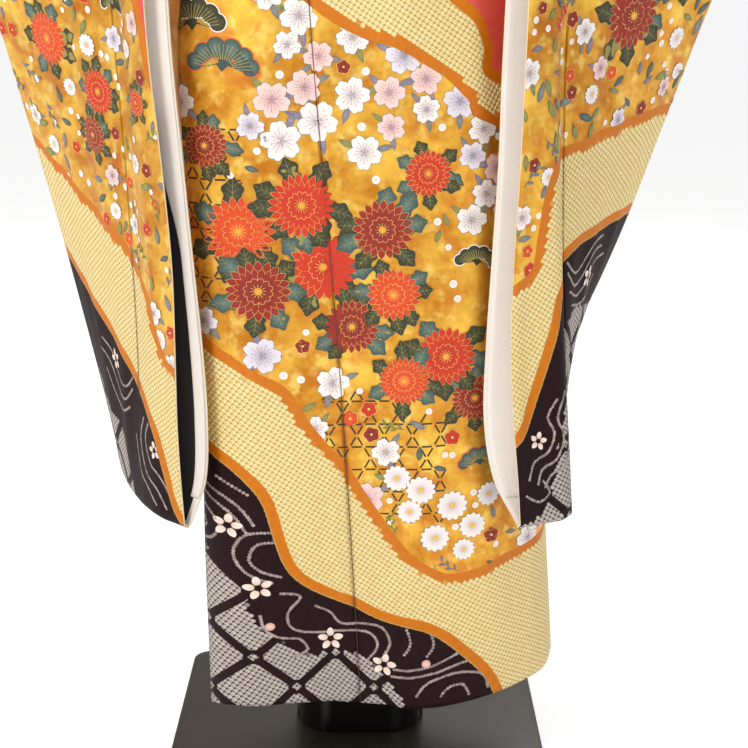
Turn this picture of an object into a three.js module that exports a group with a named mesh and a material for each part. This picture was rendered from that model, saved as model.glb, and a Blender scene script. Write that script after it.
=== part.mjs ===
// Furisode kimono worn on a limbless dress form stand. Millimetres, +Z up.
// Origin: centre of the square base plate's underside. The garment's front
// faces -Y, and the wearer's left is +X. The left front laps over the right.
import * as THREE from 'three';

// ---------------------------------------------------------------- sizes
const PLATE = { side: 400, thick: 8, corner: 20 };
const COLUMN = { x: 2.5, y: 47, width: 137, depth: 94, corner: 44, top: 705.7 };
const WALL = 1.6;              // body and sleeve cloth, outer and lining together
const LAP = 3.4;               // mid-surface distance of the overlapping left front
const SEAM = 0.44;             // clear gap left between neighbouring pieces
const HEM_Z = 112;
const OBI = { bottom: 958, top: 1108, wall: 2.4, lift: 8.8 };
const TUCK = { bottom: 886, lift: 4.2 };          // waist tuck lying over the hips
const BODICE_Z = 1112;         // level where the bodice starts to open to the shoulders
const NECK = { half: 76, z: 1420, y: 12, backY: 58, backZ: 1404 };
const TIP = { x: 288, y: 3, z: 1338 };            // end of the dropped shoulder
const COLLAR = { width: 54, wall: 1.8, end: 1010, edgeAtObi: -0.40, edgeAtNeck: 0.264 };
const SLEEVE = { wall: 1.6, inner: 9, wristZ: 1180 };

// Plan sections of the wrapped skirt and waist: x of the front middle, depths
// to front and back, widths to each side, and how square each corner is.
const BODY = [
  { z: 107,  cx: 42, front: 125, back: 132, left: -131, right: 207, squareL: 6.5, squareR: 2.15, squareB: 2.3 },
  { z: 180,  cx: 41, front: 125, back: 132, left: -131, right: 202, squareL: 6.5, squareR: 2.15, squareB: 2.3 },
  { z: 270,  cx: 39, front: 125, back: 131, left: -132, right: 196, squareL: 6.2, squareR: 2.15, squareB: 2.3 },
  { z: 400,  cx: 34, front: 126, back: 131, left: -137, right: 191, squareL: 5.0, squareR: 2.15, squareB: 2.3 },
  { z: 520,  cx: 29, front: 127, back: 131, left: -149, right: 188, squareL: 4.0, squareR: 2.2, squareB: 2.3 },
  { z: 640,  cx: 22, front: 128, back: 131, left: -166, right: 186, squareL: 3.2, squareR: 2.2, squareB: 2.3 },
  { z: 760,  cx: 12, front: 128, back: 131, left: -180, right: 182, squareL: 2.7, squareR: 2.2, squareB: 2.25 },
  { z: 850,  cx: 5,  front: 123, back: 128, left: -176, right: 174, squareL: 2.4, squareR: 2.2, squareB: 2.2 },
  { z: 930,  cx: 2,  front: 114, back: 116, left: -155, right: 155, squareL: 2.3, squareR: 2.2, squareB: 2.2 },
  { z: 1020, cx: 0,  front: 110, back: 107, left: -143, right: 145, squareL: 2.2, squareR: 2.2, squareB: 2.2 },
  { z: 1112, cx: 0,  front: 115, back: 106, left: -148, right: 148, squareL: 2.2, squareR: 2.2, squareB: 2.2 },
];
// Where the panels' long edges run: x of the okumi seam, and how far round the
// free edges lie (1 is the side, 0 the front middle).
const EDGES = [
  { z: 107,  seamX: 5,   freeOuter: -0.655, standOff: 19, freeInner: 0.60, seamInnerX: 66 },
  { z: 270,  seamX: -3,  freeOuter: -0.658, standOff: 18, freeInner: 0.62, seamInnerX: 62 },
  { z: 400,  seamX: -10, freeOuter: -0.660, standOff: 16, freeInner: 0.62, seamInnerX: 58 },
  { z: 520,  seamX: -18, freeOuter: -0.665, standOff: 14, freeInner: 0.62, seamInnerX: 52 },
  { z: 640,  seamX: -27, freeOuter: -0.675, standOff: 12, freeInner: 0.62, seamInnerX: 46 },
  { z: 760,  seamX: -36, freeOuter: -0.670, standOff: 9,  freeInner: 0.62, seamInnerX: 40 },
  { z: 850,  seamX: -40, freeOuter: -0.645, standOff: 5,  freeInner: 0.60, seamInnerX: 36 },
  { z: 930,  seamX: -36, freeOuter: -0.560, standOff: 2,  freeInner: 0.54, seamInnerX: 32 },
  { z: 1020, seamX: -24, freeOuter: -0.500, standOff: 0,  freeInner: 0.46, seamInnerX: 22 },
  { z: 1112, seamX: -10, freeOuter: -0.400, standOff: 0,  freeInner: 0.40, seamInnerX: 10 },
];
const KENSAKI = 0.42;          // bodice height fraction where the okumi's point ends

// Plan of each hanging sleeve, from its open inner edge past a crest and a
// valley to the outer fold. y is negative towards the front, x away from the
// body's middle. mouth parts the two layers at the open edge, and inset is how
// far the layer nearest the body reaches past the other.
const SLEEVE_L = [
  { z: 312,  outerZ: 312,  fx: 154, fy: -146, mouth: 9,  inset: 0,  cx: 203, cy: -124, vx: 207, vy: -88,  mx: 211, my: -10, ox: 202, oy: 88 },
  { z: 352,  outerZ: 350,  fx: 142, fy: -144, mouth: 20, inset: 16, cx: 200, cy: -124, vx: 203, vy: -90,  mx: 208, my: -12, ox: 202, oy: 86 },
  { z: 410,  outerZ: 408,  fx: 134, fy: -143, mouth: 25, inset: 20, cx: 196, cy: -124, vx: 197, vy: -92,  mx: 208, my: -16, ox: 210, oy: 78 },
  { z: 480,  outerZ: 480,  fx: 132, fy: -142, mouth: 24, inset: 15, cx: 191, cy: -124, vx: 191, vy: -95,  mx: 219, my: -26, ox: 238, oy: 56 },
  { z: 560,  outerZ: 566,  fx: 134, fy: -142, mouth: 22, inset: 12, cx: 187, cy: -124, vx: 184, vy: -98,  mx: 232, my: -34, ox: 268, oy: 38 },
  { z: 650,  outerZ: 664,  fx: 138, fy: -141, mouth: 21, inset: 11, cx: 182, cy: -123, vx: 180, vy: -99,  mx: 240, my: -40, ox: 299, oy: 26 },
  { z: 740,  outerZ: 760,  fx: 140, fy: -140, mouth: 20, inset: 11, cx: 178, cy: -121, vx: 178, vy: -98,  mx: 250, my: -42, ox: 330, oy: 18 },
  { z: 830,  outerZ: 850,  fx: 144, fy: -136, mouth: 20, inset: 9,  cx: 180, cy: -116, vx: 182, vy: -94,  mx: 266, my: -42, ox: 362, oy: 12 },
  { z: 920,  outerZ: 930,  fx: 158, fy: -118, mouth: 20, inset: 7,  cx: 192, cy: -102, vx: 196, vy: -82,  mx: 288, my: -38, ox: 394, oy: 8 },
  { z: 1010, outerZ: 1005, fx: 186, fy: -86,  mouth: 24, inset: 5,  cx: 214, cy: -78,  vx: 222, vy: -62,  mx: 316, my: -30, ox: 424, oy: 6 },
  { z: 1090, outerZ: 1065, fx: 222, fy: -42,  mouth: 34, inset: 2,  cx: 246, cy: -42,  vx: 256, vy: -36,  mx: 342, my: -20, ox: 446, oy: 4 },
];
const SLEEVE_R = [
  { z: 312,  outerZ: 312,  fx: 157, fy: -146, mouth: 9,  inset: 0,  cx: 186, cy: -120, vx: 199, vy: -98,  mx: 236, my: -26, ox: 252, oy: 60 },
  { z: 352,  outerZ: 350,  fx: 151, fy: -144, mouth: 20, inset: 13, cx: 185, cy: -119, vx: 198, vy: -97,  mx: 238, my: -26, ox: 258, oy: 58 },
  { z: 410,  outerZ: 408,  fx: 150, fy: -144, mouth: 25, inset: 15, cx: 185, cy: -118, vx: 197, vy: -96,  mx: 241, my: -28, ox: 268, oy: 54 },
  { z: 480,  outerZ: 480,  fx: 151, fy: -143, mouth: 24, inset: 12, cx: 186, cy: -118, vx: 196, vy: -96,  mx: 245, my: -32, ox: 281, oy: 47 },
  { z: 560,  outerZ: 566,  fx: 154, fy: -142, mouth: 20, inset: 8,  cx: 188, cy: -118, vx: 197, vy: -96,  mx: 250, my: -36, ox: 297, oy: 38 },
  { z: 650,  outerZ: 664,  fx: 160, fy: -141, mouth: 19, inset: 8,  cx: 191, cy: -118, vx: 199, vy: -97,  mx: 257, my: -40, ox: 318, oy: 28 },
  { z: 740,  outerZ: 760,  fx: 167, fy: -140, mouth: 19, inset: 9,  cx: 194, cy: -118, vx: 202, vy: -97,  mx: 266, my: -42, ox: 340, oy: 20 },
  { z: 830,  outerZ: 850,  fx: 171, fy: -135, mouth: 20, inset: 9,  cx: 199, cy: -113, vx: 206, vy: -93,  mx: 280, my: -42, ox: 366, oy: 14 },
  { z: 920,  outerZ: 930,  fx: 178, fy: -117, mouth: 20, inset: 7,  cx: 208, cy: -100, vx: 216, vy: -82,  mx: 298, my: -38, ox: 396, oy: 9 },
  { z: 1010, outerZ: 1005, fx: 196, fy: -86,  mouth: 24, inset: 5,  cx: 224, cy: -78,  vx: 232, vy: -62,  mx: 320, my: -30, ox: 425, oy: 6 },
  { z: 1090, outerZ: 1065, fx: 224, fy: -42,  mouth: 34, inset: 2,  cx: 248, cy: -42,  vx: 258, vy: -36,  mx: 343, my: -20, ox: 446, oy: 4 },
];
// The stretch sewn to the armhole: t is the height fraction on the bodice.
const SLEEVE_TOP = [
  { t: 0.30, outerZ: 1100, ox: 458, mid: 16, inner: 26 },
  { t: 0.52, outerZ: 1128, ox: 468, mid: 13, inner: 24 },
  { t: 0.76, outerZ: 1152, ox: 476, mid: 8,  inner: 16 },
  { t: 0.97, outerZ: 1170, ox: 482, mid: 2,  inner: 7 },
];

// The smooth dress form inside.
const FORM = [
  { z: 706,  half: 96,  depth: 78 },
  { z: 716,  half: 132, depth: 104 },
  { z: 745,  half: 146, depth: 113 },
  { z: 800,  half: 150, depth: 115 },
  { z: 870,  half: 142, depth: 108 },
  { z: 950,  half: 122, depth: 93 },
  { z: 1010, half: 115, depth: 87 },
  { z: 1090, half: 124, depth: 93 },
  { z: 1170, half: 136, depth: 93 },
  { z: 1240, half: 142, depth: 82 },
  { z: 1300, half: 132, depth: 64 },
  { z: 1340, half: 100, depth: 50 },
  { z: 1366, half: 68,  depth: 42 },
  { z: 1388, half: 49,  depth: 37 },
  { z: 1425, half: 42,  depth: 34 },
  { z: 1470, half: 41,  depth: 34 },
  { z: 1480, half: 36,  depth: 29 },
];

// ---------------------------------------------------------------- helpers
const clamp = (v, a, b) => Math.min(b, Math.max(a, v));
const mix = (a, b, t) => a + (b - a) * t;
const smooth = (a, b, v) => { const t = clamp((v - a) / (b - a), 0, 1); return t * t * (3 - 2 * t); };

// A value of a table's named column at height z, on a smooth curve through its rows.
function column(rows, name, z) {
  let i = 0;
  while (i < rows.length - 2 && z > rows[i + 1].z) i++;
  const a = rows[i], b = rows[i + 1];
  const h = b.z - a.z, t = clamp((z - a.z) / h, 0, 1);
  const p = rows[Math.max(0, i - 1)], q = rows[Math.min(rows.length - 1, i + 2)];
  const ma = (b[name] - p[name]) / (b.z - p.z) * h;
  const mb = (q[name] - a[name]) / (q.z - a.z) * h;
  const t2 = t * t, t3 = t2 * t;
  return (2 * t3 - 3 * t2 + 1) * a[name] + (t3 - 2 * t2 + t) * ma
    + (-2 * t3 + 3 * t2) * b[name] + (t3 - t2) * mb;
}

// A point of the skirt's and waist's section: p is 0 at the front middle, 1 at
// the wearer's left side, 2 at the back middle and -1 at the right side.
function skirt(z, p) {
  const angle = p * Math.PI / 2, s = Math.sin(angle), c = Math.cos(angle);
  const cx = column(BODY, 'cx', z);
  const a = s >= 0 ? column(BODY, 'right', z) - cx : cx - column(BODY, 'left', z);
  const b = c >= 0 ? column(BODY, 'front', z) : column(BODY, 'back', z);
  const n = c < 0 ? column(BODY, 'squareB', z) : s >= 0 ? column(BODY, 'squareR', z) : column(BODY, 'squareL', z);
  const r = Math.pow(Math.pow(Math.abs(s) / a, n) + Math.pow(Math.abs(c) / b, n), -1 / n);
  return new THREE.Vector3(cx + r * s, -r * c, z);
}

// The shoulder line over which the front and back meet, x from the middle.
function shoulder(x, back) {
  const ax = Math.abs(x), k = smooth(0, NECK.half, ax);
  const out = clamp((ax - NECK.half) / (TIP.x - NECK.half), 0, 1);
  const z = ax < NECK.half ? mix(back ? NECK.backZ : NECK.z - 14, NECK.z, k) : mix(NECK.z, TIP.z, Math.pow(out, 1.12));
  const y = ax < NECK.half ? mix(back ? NECK.backY : 0, NECK.y, k) : mix(NECK.y, TIP.y, out);
  return new THREE.Vector3(x, y, z);
}

// The bodice between the waist and the shoulder line: u runs across, t upward.
function bodice(u, t, back) {
  const base = skirt(BODICE_Z, back ? 2 - u : u);
  const top = shoulder(u * TIP.x, back);
  const tx = Math.pow(t, 0.62), ty = Math.pow(t, back ? 2.3 : 4);
  const x = mix(base.x, top.x, tx);
  const open = (back ? 1 : -1) * 30 * Math.sin(Math.PI * Math.pow(t, 0.6)) * Math.pow(Math.abs(u), 3);
  const chest = (back ? 4 : -9) * Math.sin(Math.PI * Math.pow(t, 0.8)) * (1 - u * u);
  return new THREE.Vector3(x, mix(base.y, top.y, ty) + open + chest, mix(BODICE_Z, top.z, t));
}

// The whole body surface: level 0..1 is hem to waist, 1..2 waist to shoulder.
function surface(level, p) {
  if (level <= 1) return skirt(mix(HEM_Z, BODICE_Z, level), p);
  return p <= 1 ? bodice(p, level - 1, false) : bodice(2 - p, level - 1, true);
}
function surfaceNormal(level, p, back) {
  const d = 0.004, lo = back ? 1.0001 : -1, hi = back ? 3 : 1;
  const wrap = level <= 1;
  const p0 = wrap ? p - d : clamp(p - d, lo, hi), p1 = wrap ? p + d : clamp(p + d, lo, hi);
  const l0 = clamp(level - d, 0, 2), l1 = clamp(level + d, 0, 2);
  const along = surface(level, p1).sub(surface(level, p0));
  const up = surface(l1, p).sub(surface(l0, p));
  return along.cross(up).normalize();
}
const levelOf = (z) => (z - HEM_Z) / (BODICE_Z - HEM_Z);

// Position round the front of the section where x takes the given value.
function frontAtX(level, x) {
  let lo = -1, hi = 1;
  for (let i = 0; i < 40; i++) {
    const m = (lo + hi) / 2;
    if (surface(level, m).x < x) lo = m; else hi = m;
  }
  return (lo + hi) / 2;
}

// ---------------------------------------------------------------- walls
// A grid of mid-surface points, made into a closed wall of the given thickness.
function gridWall(grid, thick, closedAcross = false) {
  const rows = grid.length, cols = grid[0].length;
  const points = [], tris = [];
  for (const row of grid) for (const v of row) points.push(v);
  const at = (i, j) => i * cols + (j % cols);
  const last = closedAcross ? cols : cols - 1;
  for (let i = 0; i < rows - 1; i++) {
    for (let j = 0; j < last; j++) {
      const a = at(i, j), b = at(i, j + 1), c = at(i + 1, j + 1), d = at(i + 1, j);
      tris.push([a, b, c], [a, c, d]);
    }
  }
  return thicken(points, tris, thick);
}

// A surface mesh with open edges, made into a closed wall: each vertex moves
// half the thickness along its normal to both sides, and open edges are capped.
function thicken(points, tris, thick) {
  const normals = points.map(() => new THREE.Vector3());
  const e1 = new THREE.Vector3(), e2 = new THREE.Vector3();
  for (const [a, b, c] of tris) {
    e1.subVectors(points[b], points[a]);
    e2.subVectors(points[c], points[a]);
    const n = new THREE.Vector3().crossVectors(e1, e2);
    n.normalize();
    const corners = [[a, b, c], [b, c, a], [c, a, b]];
    for (const [i, j, k] of corners) {
      const u = new THREE.Vector3().subVectors(points[j], points[i]).normalize();
      const v = new THREE.Vector3().subVectors(points[k], points[i]).normalize();
      normals[i].addScaledVector(n, Math.acos(clamp(u.dot(v), -1, 1)));
    }
  }
  const positions = [];
  const count = points.length;
  points.forEach((p, i) => { const n = normals[i].normalize(); positions.push(p.x + n.x * thick / 2, p.y + n.y * thick / 2, p.z + n.z * thick / 2); });
  points.forEach((p, i) => { const n = normals[i]; positions.push(p.x - n.x * thick / 2, p.y - n.y * thick / 2, p.z - n.z * thick / 2); });
  const index = [];
  const edges = new Map();
  for (const [a, b, c] of tris) {
    index.push(a, b, c, a + count, c + count, b + count);
    for (const [s, e] of [[a, b], [b, c], [c, a]]) edges.set(s + '_' + e, [s, e]);
  }
  for (const [s, e] of edges.values()) {
    if (edges.has(e + '_' + s)) continue;
    index.push(s, s + count, e + count, s, e + count, e);
  }
  const geometry = new THREE.BufferGeometry();
  geometry.setAttribute('position', new THREE.Float32BufferAttribute(positions, 3));
  geometry.setIndex(index);
  return geometry;
}

// Evenly spaced points between two positions of one level, kept clear of both
// ends by half a seam gap, and moved out by lift(level, p).
function rib(level, from, to, count, lift, back) {
  const dense = 60, pts = [];
  for (let i = 0; i <= dense; i++) pts.push({ p: mix(from, to, i / dense), v: surface(level, mix(from, to, i / dense)) });
  const arc = [0];
  for (let i = 1; i <= dense; i++) arc.push(arc[i - 1] + pts[i].v.distanceTo(pts[i - 1].v));
  const start = SEAM / 2, end = Math.max(arc[dense] - SEAM / 2, start + 6);
  const row = [];
  for (let k = 0; k <= count; k++) {
    const want = mix(start, end, k / count);
    let i = 1;
    while (i < dense && arc[i] < want) i++;
    const t = (want - arc[i - 1]) / Math.max(1e-9, arc[i] - arc[i - 1]);
    const p = mix(pts[i - 1].p, pts[i].p, t);
    row.push(surface(level, p).addScaledVector(surfaceNormal(level, p, back), lift(level, p)));
  }
  return row;
}
const zOf = (level) => mix(HEM_Z, BODICE_Z, level);
// The waist tuck: the cloth doubled over itself stands out above the hips.
const tuck = (level) => level > 1 ? 0 : TUCK.lift * smooth(TUCK.bottom - 5, TUCK.bottom + 3, zOf(level)) * (1 - smooth(936, 954, zOf(level)));
const LOW = [HEM_Z, 150, 215, 300, 390, 480, 570, 660, 745, 820, TUCK.bottom - 6, TUCK.bottom + 4, 930, 956, 1030, BODICE_Z].map(levelOf);
const HIGH = [1.12, 1.27, 1.42, 1.58, 1.74, 1.88, 1.985];

function panel(levels, from, to, count, lift, back) {
  return gridWall(levels.map((l) => rib(l, from(l), to(l), count, lift, back)), WALL);
}

// ---------------------------------------------------------------- body panels
const edge = (name, level) => column(EDGES, name, zOf(Math.min(level, 1)));
const neckline = (level) => mix(COLLAR.edgeAtObi, COLLAR.edgeAtNeck, level - 1);
const sideLeft = (level) => level <= 1 ? mix(0.90, 1, smooth(0.2, 0.95, level)) : 1;
const outerFree = (level) => level <= 1 ? edge('freeOuter', level) : neckline(level);
const outerSeam = (level) => level <= 1 ? frontAtX(level, edge('seamX', level))
  : mix(frontAtX(1, edge('seamX', 1)), neckline(1 + KENSAKI) + 0.03, (level - 1) / KENSAKI);
const innerFree = (level) => level <= 1 ? edge('freeInner', level) : -neckline(level);
const innerSeam = (level) => level <= 1 ? frontAtX(level, edge('seamInnerX', level))
  : mix(frontAtX(1, edge('seamInnerX', 1)), -neckline(1 + KENSAKI) - 0.03, (level - 1) / KENSAKI);

// The outer front lies over the inner one and meets the back at the side seam.
function outerLift(level, p) {
  const side = level <= 1 ? 1 - smooth(sideLeft(level) - 0.17, sideLeft(level) - 0.01, p) : 1 - smooth(0.66, 0.95, p);
  const over = level <= 1 ? 1 : 1 - smooth(0.55, 1, level - 1) * smooth(0, 0.4, p);
  const free = outerFree(level);
  const away = level <= 1 ? edge('standOff', level) * Math.pow(1 - smooth(free, free + 0.62, p), 1.6) : 0;
  return LAP * side * over + away + tuck(level);
}
const innerLift = (level, p) => level <= 1 ? tuck(level) * (1 - smooth(-0.86, -0.76, p)) : 0;
const backLift = (level) => tuck(level);

const okumiHigh = HIGH.filter((l) => l < 1 + KENSAKI).concat([1 + KENSAKI - 0.01]);
const pieces = {};
pieces.okumi_left = panel(LOW.concat(okumiHigh), outerFree, outerSeam, 6, outerLift, false);
pieces.front_left = panel(LOW.concat(HIGH), (l) => l <= 1 + KENSAKI ? outerSeam(l) : neckline(l) + 0.03 * (1 - smooth(KENSAKI, 1, l - 1)), sideLeft, 8, outerLift, false);
pieces.okumi_right = panel(LOW.concat(okumiHigh), innerSeam, innerFree, 4, innerLift, false);
pieces.front_right = panel(LOW.concat(HIGH), (l) => -1, (l) => l <= 1 + KENSAKI ? innerSeam(l) : -neckline(l) - 0.03 * (1 - smooth(KENSAKI, 1, l - 1)), 9, innerLift, false);
pieces.back_left = panel(LOW.concat(HIGH), (l) => l <= 1 ? sideLeft(l) : 1.0002, () => 1.999, 9, backLift, true);
pieces.back_right = panel(LOW.concat(HIGH), () => 2.001, (l) => l <= 1 ? 3 : 2.9998, 9, backLift, true);

// ---------------------------------------------------------------- collar
// One band sewn to the neckline: up the outer front, round the neck, and down
// the inner front. It stands up towards the neck.
function collarGrid() {
  const stations = [];
  const legs = [levelOf(COLLAR.end), levelOf(1030), 1].concat(HIGH);
  const leg = (level, side) => {
    const z = zOf(Math.min(level, 1));
    const e = level <= 1 ? (side > 0 ? column(EDGES, 'freeOuter', z) : column(EDGES, 'freeInner', z)) : side * neckline(level);
    const stand = smooth(0.70, 1, level - 1);
    const lift = side > 0 ? LAP + 0.9 : 0.1;
    const width = COLLAR.width * (1 - 0.25 * stand);
    const dir = side > 0 ? -1 : 1;
    const n0 = surfaceNormal(level, e, false);
    const base = surface(level, e).addScaledVector(n0, lift);
    base.x += dir * (SEAM + 0.5);
    const standTip = surface(level, e).add(new THREE.Vector3(dir * 15, -5 + 4 * stand, 36));
    // step sideways along the surface, a little upward, by thirds of the width
    const row = [base];
    let p = e, reach = 0;
    for (const part of [1 / 3, 2 / 3, 1]) {
      while (reach < width * part && Math.abs(p) < 0.99) {
        const q = p + dir * 0.004;
        reach += surface(level, q).distanceTo(surface(level, p));
        p = q;
      }
      const up = level <= 1 || side < 0 ? level : Math.min(1.99, level + 0.05 * part * smooth(0.15, 0.4, level - 1));
      const flat = surface(up, p).addScaledVector(surfaceNormal(up, p, false), lift);
      row.push(flat.lerp(base.clone().lerp(standTip, part), stand));
    }
    return row;
  };
  for (const l of legs) stations.push(leg(l, 1));
  const around = [
    { x: 66, y: 34, z: 1422, tx: 56, ty: 30, tz: 1462 },
    { x: 44, y: 56, z: 1412, tx: 40, ty: 58, tz: 1450 },
    { x: 0,  y: 68, z: 1407, tx: 0,  ty: 76, tz: 1442 },
  ];
  const ring = around.concat([{ ...around[1], x: -around[1].x, tx: -around[1].tx }, { ...around[0], x: -around[0].x, tx: -around[0].tx }]);
  for (const r of ring) {
    const b = new THREE.Vector3(r.x, r.y, r.z + 3), t = new THREE.Vector3(r.tx, r.ty, r.tz);
    stations.push([0, 1 / 3, 2 / 3, 1].map((k) => b.clone().lerp(t, k).add(new THREE.Vector3(r.x * 0.02, 1.2, 0).multiplyScalar(4 * k * (1 - k)))));
  }
  for (const l of legs.slice().reverse()) stations.push(leg(l, -1));
  return stations;
}
pieces.collar = gridWall(collarGrid().map((r) => r.slice().reverse()), COLLAR.wall);

// ---------------------------------------------------------------- sleeves
// Columns of one plan row: the open edge, the crest and the valley, each with
// its rounded turn, and the stretch to the outer fold.
function planRow(r) {
  const f = new THREE.Vector2(r.fx, r.fy), c = new THREE.Vector2(r.cx, r.cy), v = new THREE.Vector2(r.vx, r.vy);
  const m = new THREE.Vector2(r.mx, r.my), o = new THREE.Vector2(r.ox, r.oy);
  const toward = (a, b, d) => a.clone().add(b.clone().sub(a).setLength(Math.min(d, a.distanceTo(b) * 0.46)));
  const turn = (a, k, b, d) => {
    const p = toward(k, a, d), q = toward(k, b, d);
    return [p, p.clone().multiplyScalar(0.25).add(k.clone().multiplyScalar(0.5)).add(q.clone().multiplyScalar(0.25)), q];
  };
  const far = (t) => v.clone().multiplyScalar((1 - t) * (1 - t)).add(m.clone().multiplyScalar(2 * t * (1 - t))).add(o.clone().multiplyScalar(t * t));
  const pts = [f, f.clone().lerp(c, 0.42), ...turn(f, c, v, 11), ...turn(c, v, m, 11), far(0.36), far(0.58), far(0.8), o];
  return pts;
}

function sleeve(rows, side) {
  const front = [], back = [], ends = [];
  for (const r of rows) {
    const pts = planRow(r), n = pts.length;
    const arc = [0];
    for (let i = 1; i < n; i++) arc.push(arc[i - 1] + pts[i].distanceTo(pts[i - 1]));
    const fr = [], bk = [];
    for (let i = 0; i < n; i++) {
      const a = pts[Math.max(0, i - 1)], b = pts[Math.min(n - 1, i + 1)];
      const d = b.clone().sub(a).normalize(), out = new THREE.Vector2(d.y, -d.x);
      const k = arc[i] / arc[n - 1];
      const z = mix(r.z, r.outerZ, k);
      const open = mix(r.mouth, r.gap ?? SLEEVE.inner, smooth(0, 0.16, k)) / 2;
      const reach = i === 0 ? r.inset / 2 : 0;
      const F = pts[i].clone().addScaledVector(out, open).addScaledVector(d, reach);
      const B = pts[i].clone().addScaledVector(out, -open).addScaledVector(d, -reach);
      if (r.edgeF && i === 0) { fr.push(r.edgeF.clone()); bk.push(r.edgeB.clone()); continue; }
      fr.push(new THREE.Vector3(F.x, F.y, z));
      bk.push(new THREE.Vector3(B.x, B.y, z));
    }
    const d = pts[n - 1].clone().sub(pts[n - 2]).normalize();
    ends.push(new THREE.Vector3(pts[n - 1].x + d.x * 5, pts[n - 1].y + d.y * 5, r.outerZ));
    front.push(fr);
    back.push(bk);
  }
  const points = [], tris = [];
  const put = (v) => { points.push(new THREE.Vector3(v.x * side, v.y, v.z)); return points.length - 1; };
  const F = front.map((row) => row.map(put)), B = back.map((row) => row.map(put));
  const R = rows.length, C = front[0].length;
  // joining fold along the bottom, a little lower than both layers
  const low = front[0].map((v, j) => v.clone().add(back[0][j]).multiplyScalar(0.5).add(new THREE.Vector3(0, 0, -4)));
  const M = low.map(put);
  const high = front[R - 1].map((v, j) => v.clone().add(back[R - 1][j]).multiplyScalar(0.5).add(new THREE.Vector3(0, 0, 4.5)));
  const T = high.map(put);
  const E = ends.map((v, i) => rows[i].outerZ < SLEEVE_TOP[0].outerZ - 10 ? put(v) : -1);
  const quad = (a, b, c, d) => { if (side > 0) tris.push([a, b, c], [a, c, d]); else tris.push([a, c, b], [a, d, c]); };
  const tri = (a, b, c) => { if (side > 0) tris.push([a, b, c]); else tris.push([a, c, b]); };
  for (let i = 0; i < R - 1; i++) {
    for (let j = 0; j < C - 1; j++) {
      quad(F[i][j], F[i][j + 1], F[i + 1][j + 1], F[i + 1][j]);
      quad(B[i][j + 1], B[i][j], B[i + 1][j], B[i + 1][j + 1]);
    }
    if (E[i] >= 0 && E[i + 1] >= 0) {
      quad(F[i][C - 1], E[i], E[i + 1], F[i + 1][C - 1]);
      quad(E[i], B[i][C - 1], B[i + 1][C - 1], E[i + 1]);
    }
  }
  for (let j = 0; j < C - 1; j++) {
    quad(M[j], M[j + 1], F[0][j + 1], F[0][j]);
    quad(B[0][j], B[0][j + 1], M[j + 1], M[j]);
    quad(F[R - 1][j], F[R - 1][j + 1], T[j + 1], T[j]);
    quad(T[j], T[j + 1], B[R - 1][j + 1], B[R - 1][j]);
  }
  tri(M[C - 1], E[0], F[0][C - 1]);
  tri(M[C - 1], B[0][C - 1], E[0]);
  return { geometry: thicken(points, tris, SLEEVE.wall), front, back };
}

// Rows sewn to the armhole: both layers start at the body's edges.
function armholeRows(side) {
  const gap = new THREE.Vector3(SEAM + 1.6, 0, 0);
  return SLEEVE_TOP.map((r) => {
    const f = bodice(side, r.t, false), b = bodice(side, r.t, true);
    f.x = Math.abs(f.x); b.x = Math.abs(b.x);
    const lap = side > 0 ? LAP * 0 : 0;
    const F = f.clone().add(gap), B = b.clone().add(gap);
    F.y -= lap;
    const mid = F.clone().add(B).multiplyScalar(0.5);
    const p = (k) => ({ x: mix(mid.x, r.ox, k), y: mix(mid.y, 4, k) - r.mid * Math.sin(Math.PI * k) });
    const c = p(0.12), v = p(0.2), m = p(0.56);
    return { z: mid.z, outerZ: r.outerZ, fx: mid.x, fy: mid.y, mouth: F.distanceTo(B), inset: 0, gap: r.inner * 0.6 + 5,
      cx: c.x, cy: c.y, vx: v.x, vy: v.y, mx: m.x, my: m.y, ox: r.ox, oy: 4, edgeF: F, edgeB: B };
  });
}
const left = sleeve(SLEEVE_L.concat(armholeRows(1)), 1);
const right = sleeve(SLEEVE_R.concat(armholeRows(-1)), -1);
pieces.sleeve_left = left.geometry;
pieces.sleeve_right = right.geometry;

// The pale lining that shows in each sleeve's open inner edge: a strip that
// lies on the inside of the layer nearest the body.
function liningStrip(bag, side) {
  const grid = [];
  for (let i = 1; i <= 9; i++) {
    const row = bag.back[i].slice(0, 3);
    const pts = row.map((v, j) => {
      const a = row[Math.max(0, j - 1)], b = row[Math.min(2, j + 1)];
      const inward = new THREE.Vector3(b.y - a.y, a.x - b.x, 0).normalize();
      return v.clone().addScaledVector(inward, SLEEVE.wall / 2 + 0.5 + 0.9);
    });
    const first = pts[0].clone().lerp(pts[1], 0.05), lastPt = pts[1].clone().lerp(pts[2], 0.35);
    grid.push([first, pts[0].clone().lerp(pts[1], 0.5), lastPt].map((v) => new THREE.Vector3(v.x * side, v.y, v.z)));
  }
  return gridWall(side > 0 ? grid : grid.map((r) => r.slice().reverse()), 1.0);
}
pieces.sleeve_left_lining = liningStrip(left, 1);
pieces.sleeve_right_lining = liningStrip(right, -1);

// ---------------------------------------------------------------- obi
function obiRing() {
  const count = 36, grid = [];
  for (const z of [OBI.bottom, (OBI.bottom + OBI.top) / 2, OBI.top]) {
    const row = [];
    for (let k = 0; k < count; k++) {
      const p = -1 + 4 * k / count;
      const l = levelOf(z);
      row.push(skirt(z, p).addScaledVector(surfaceNormal(l, p, false), OBI.lift));
    }
    grid.push(row);
  }
  return gridWall(grid, OBI.wall, true);
}
pieces.obi = obiRing();

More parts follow.
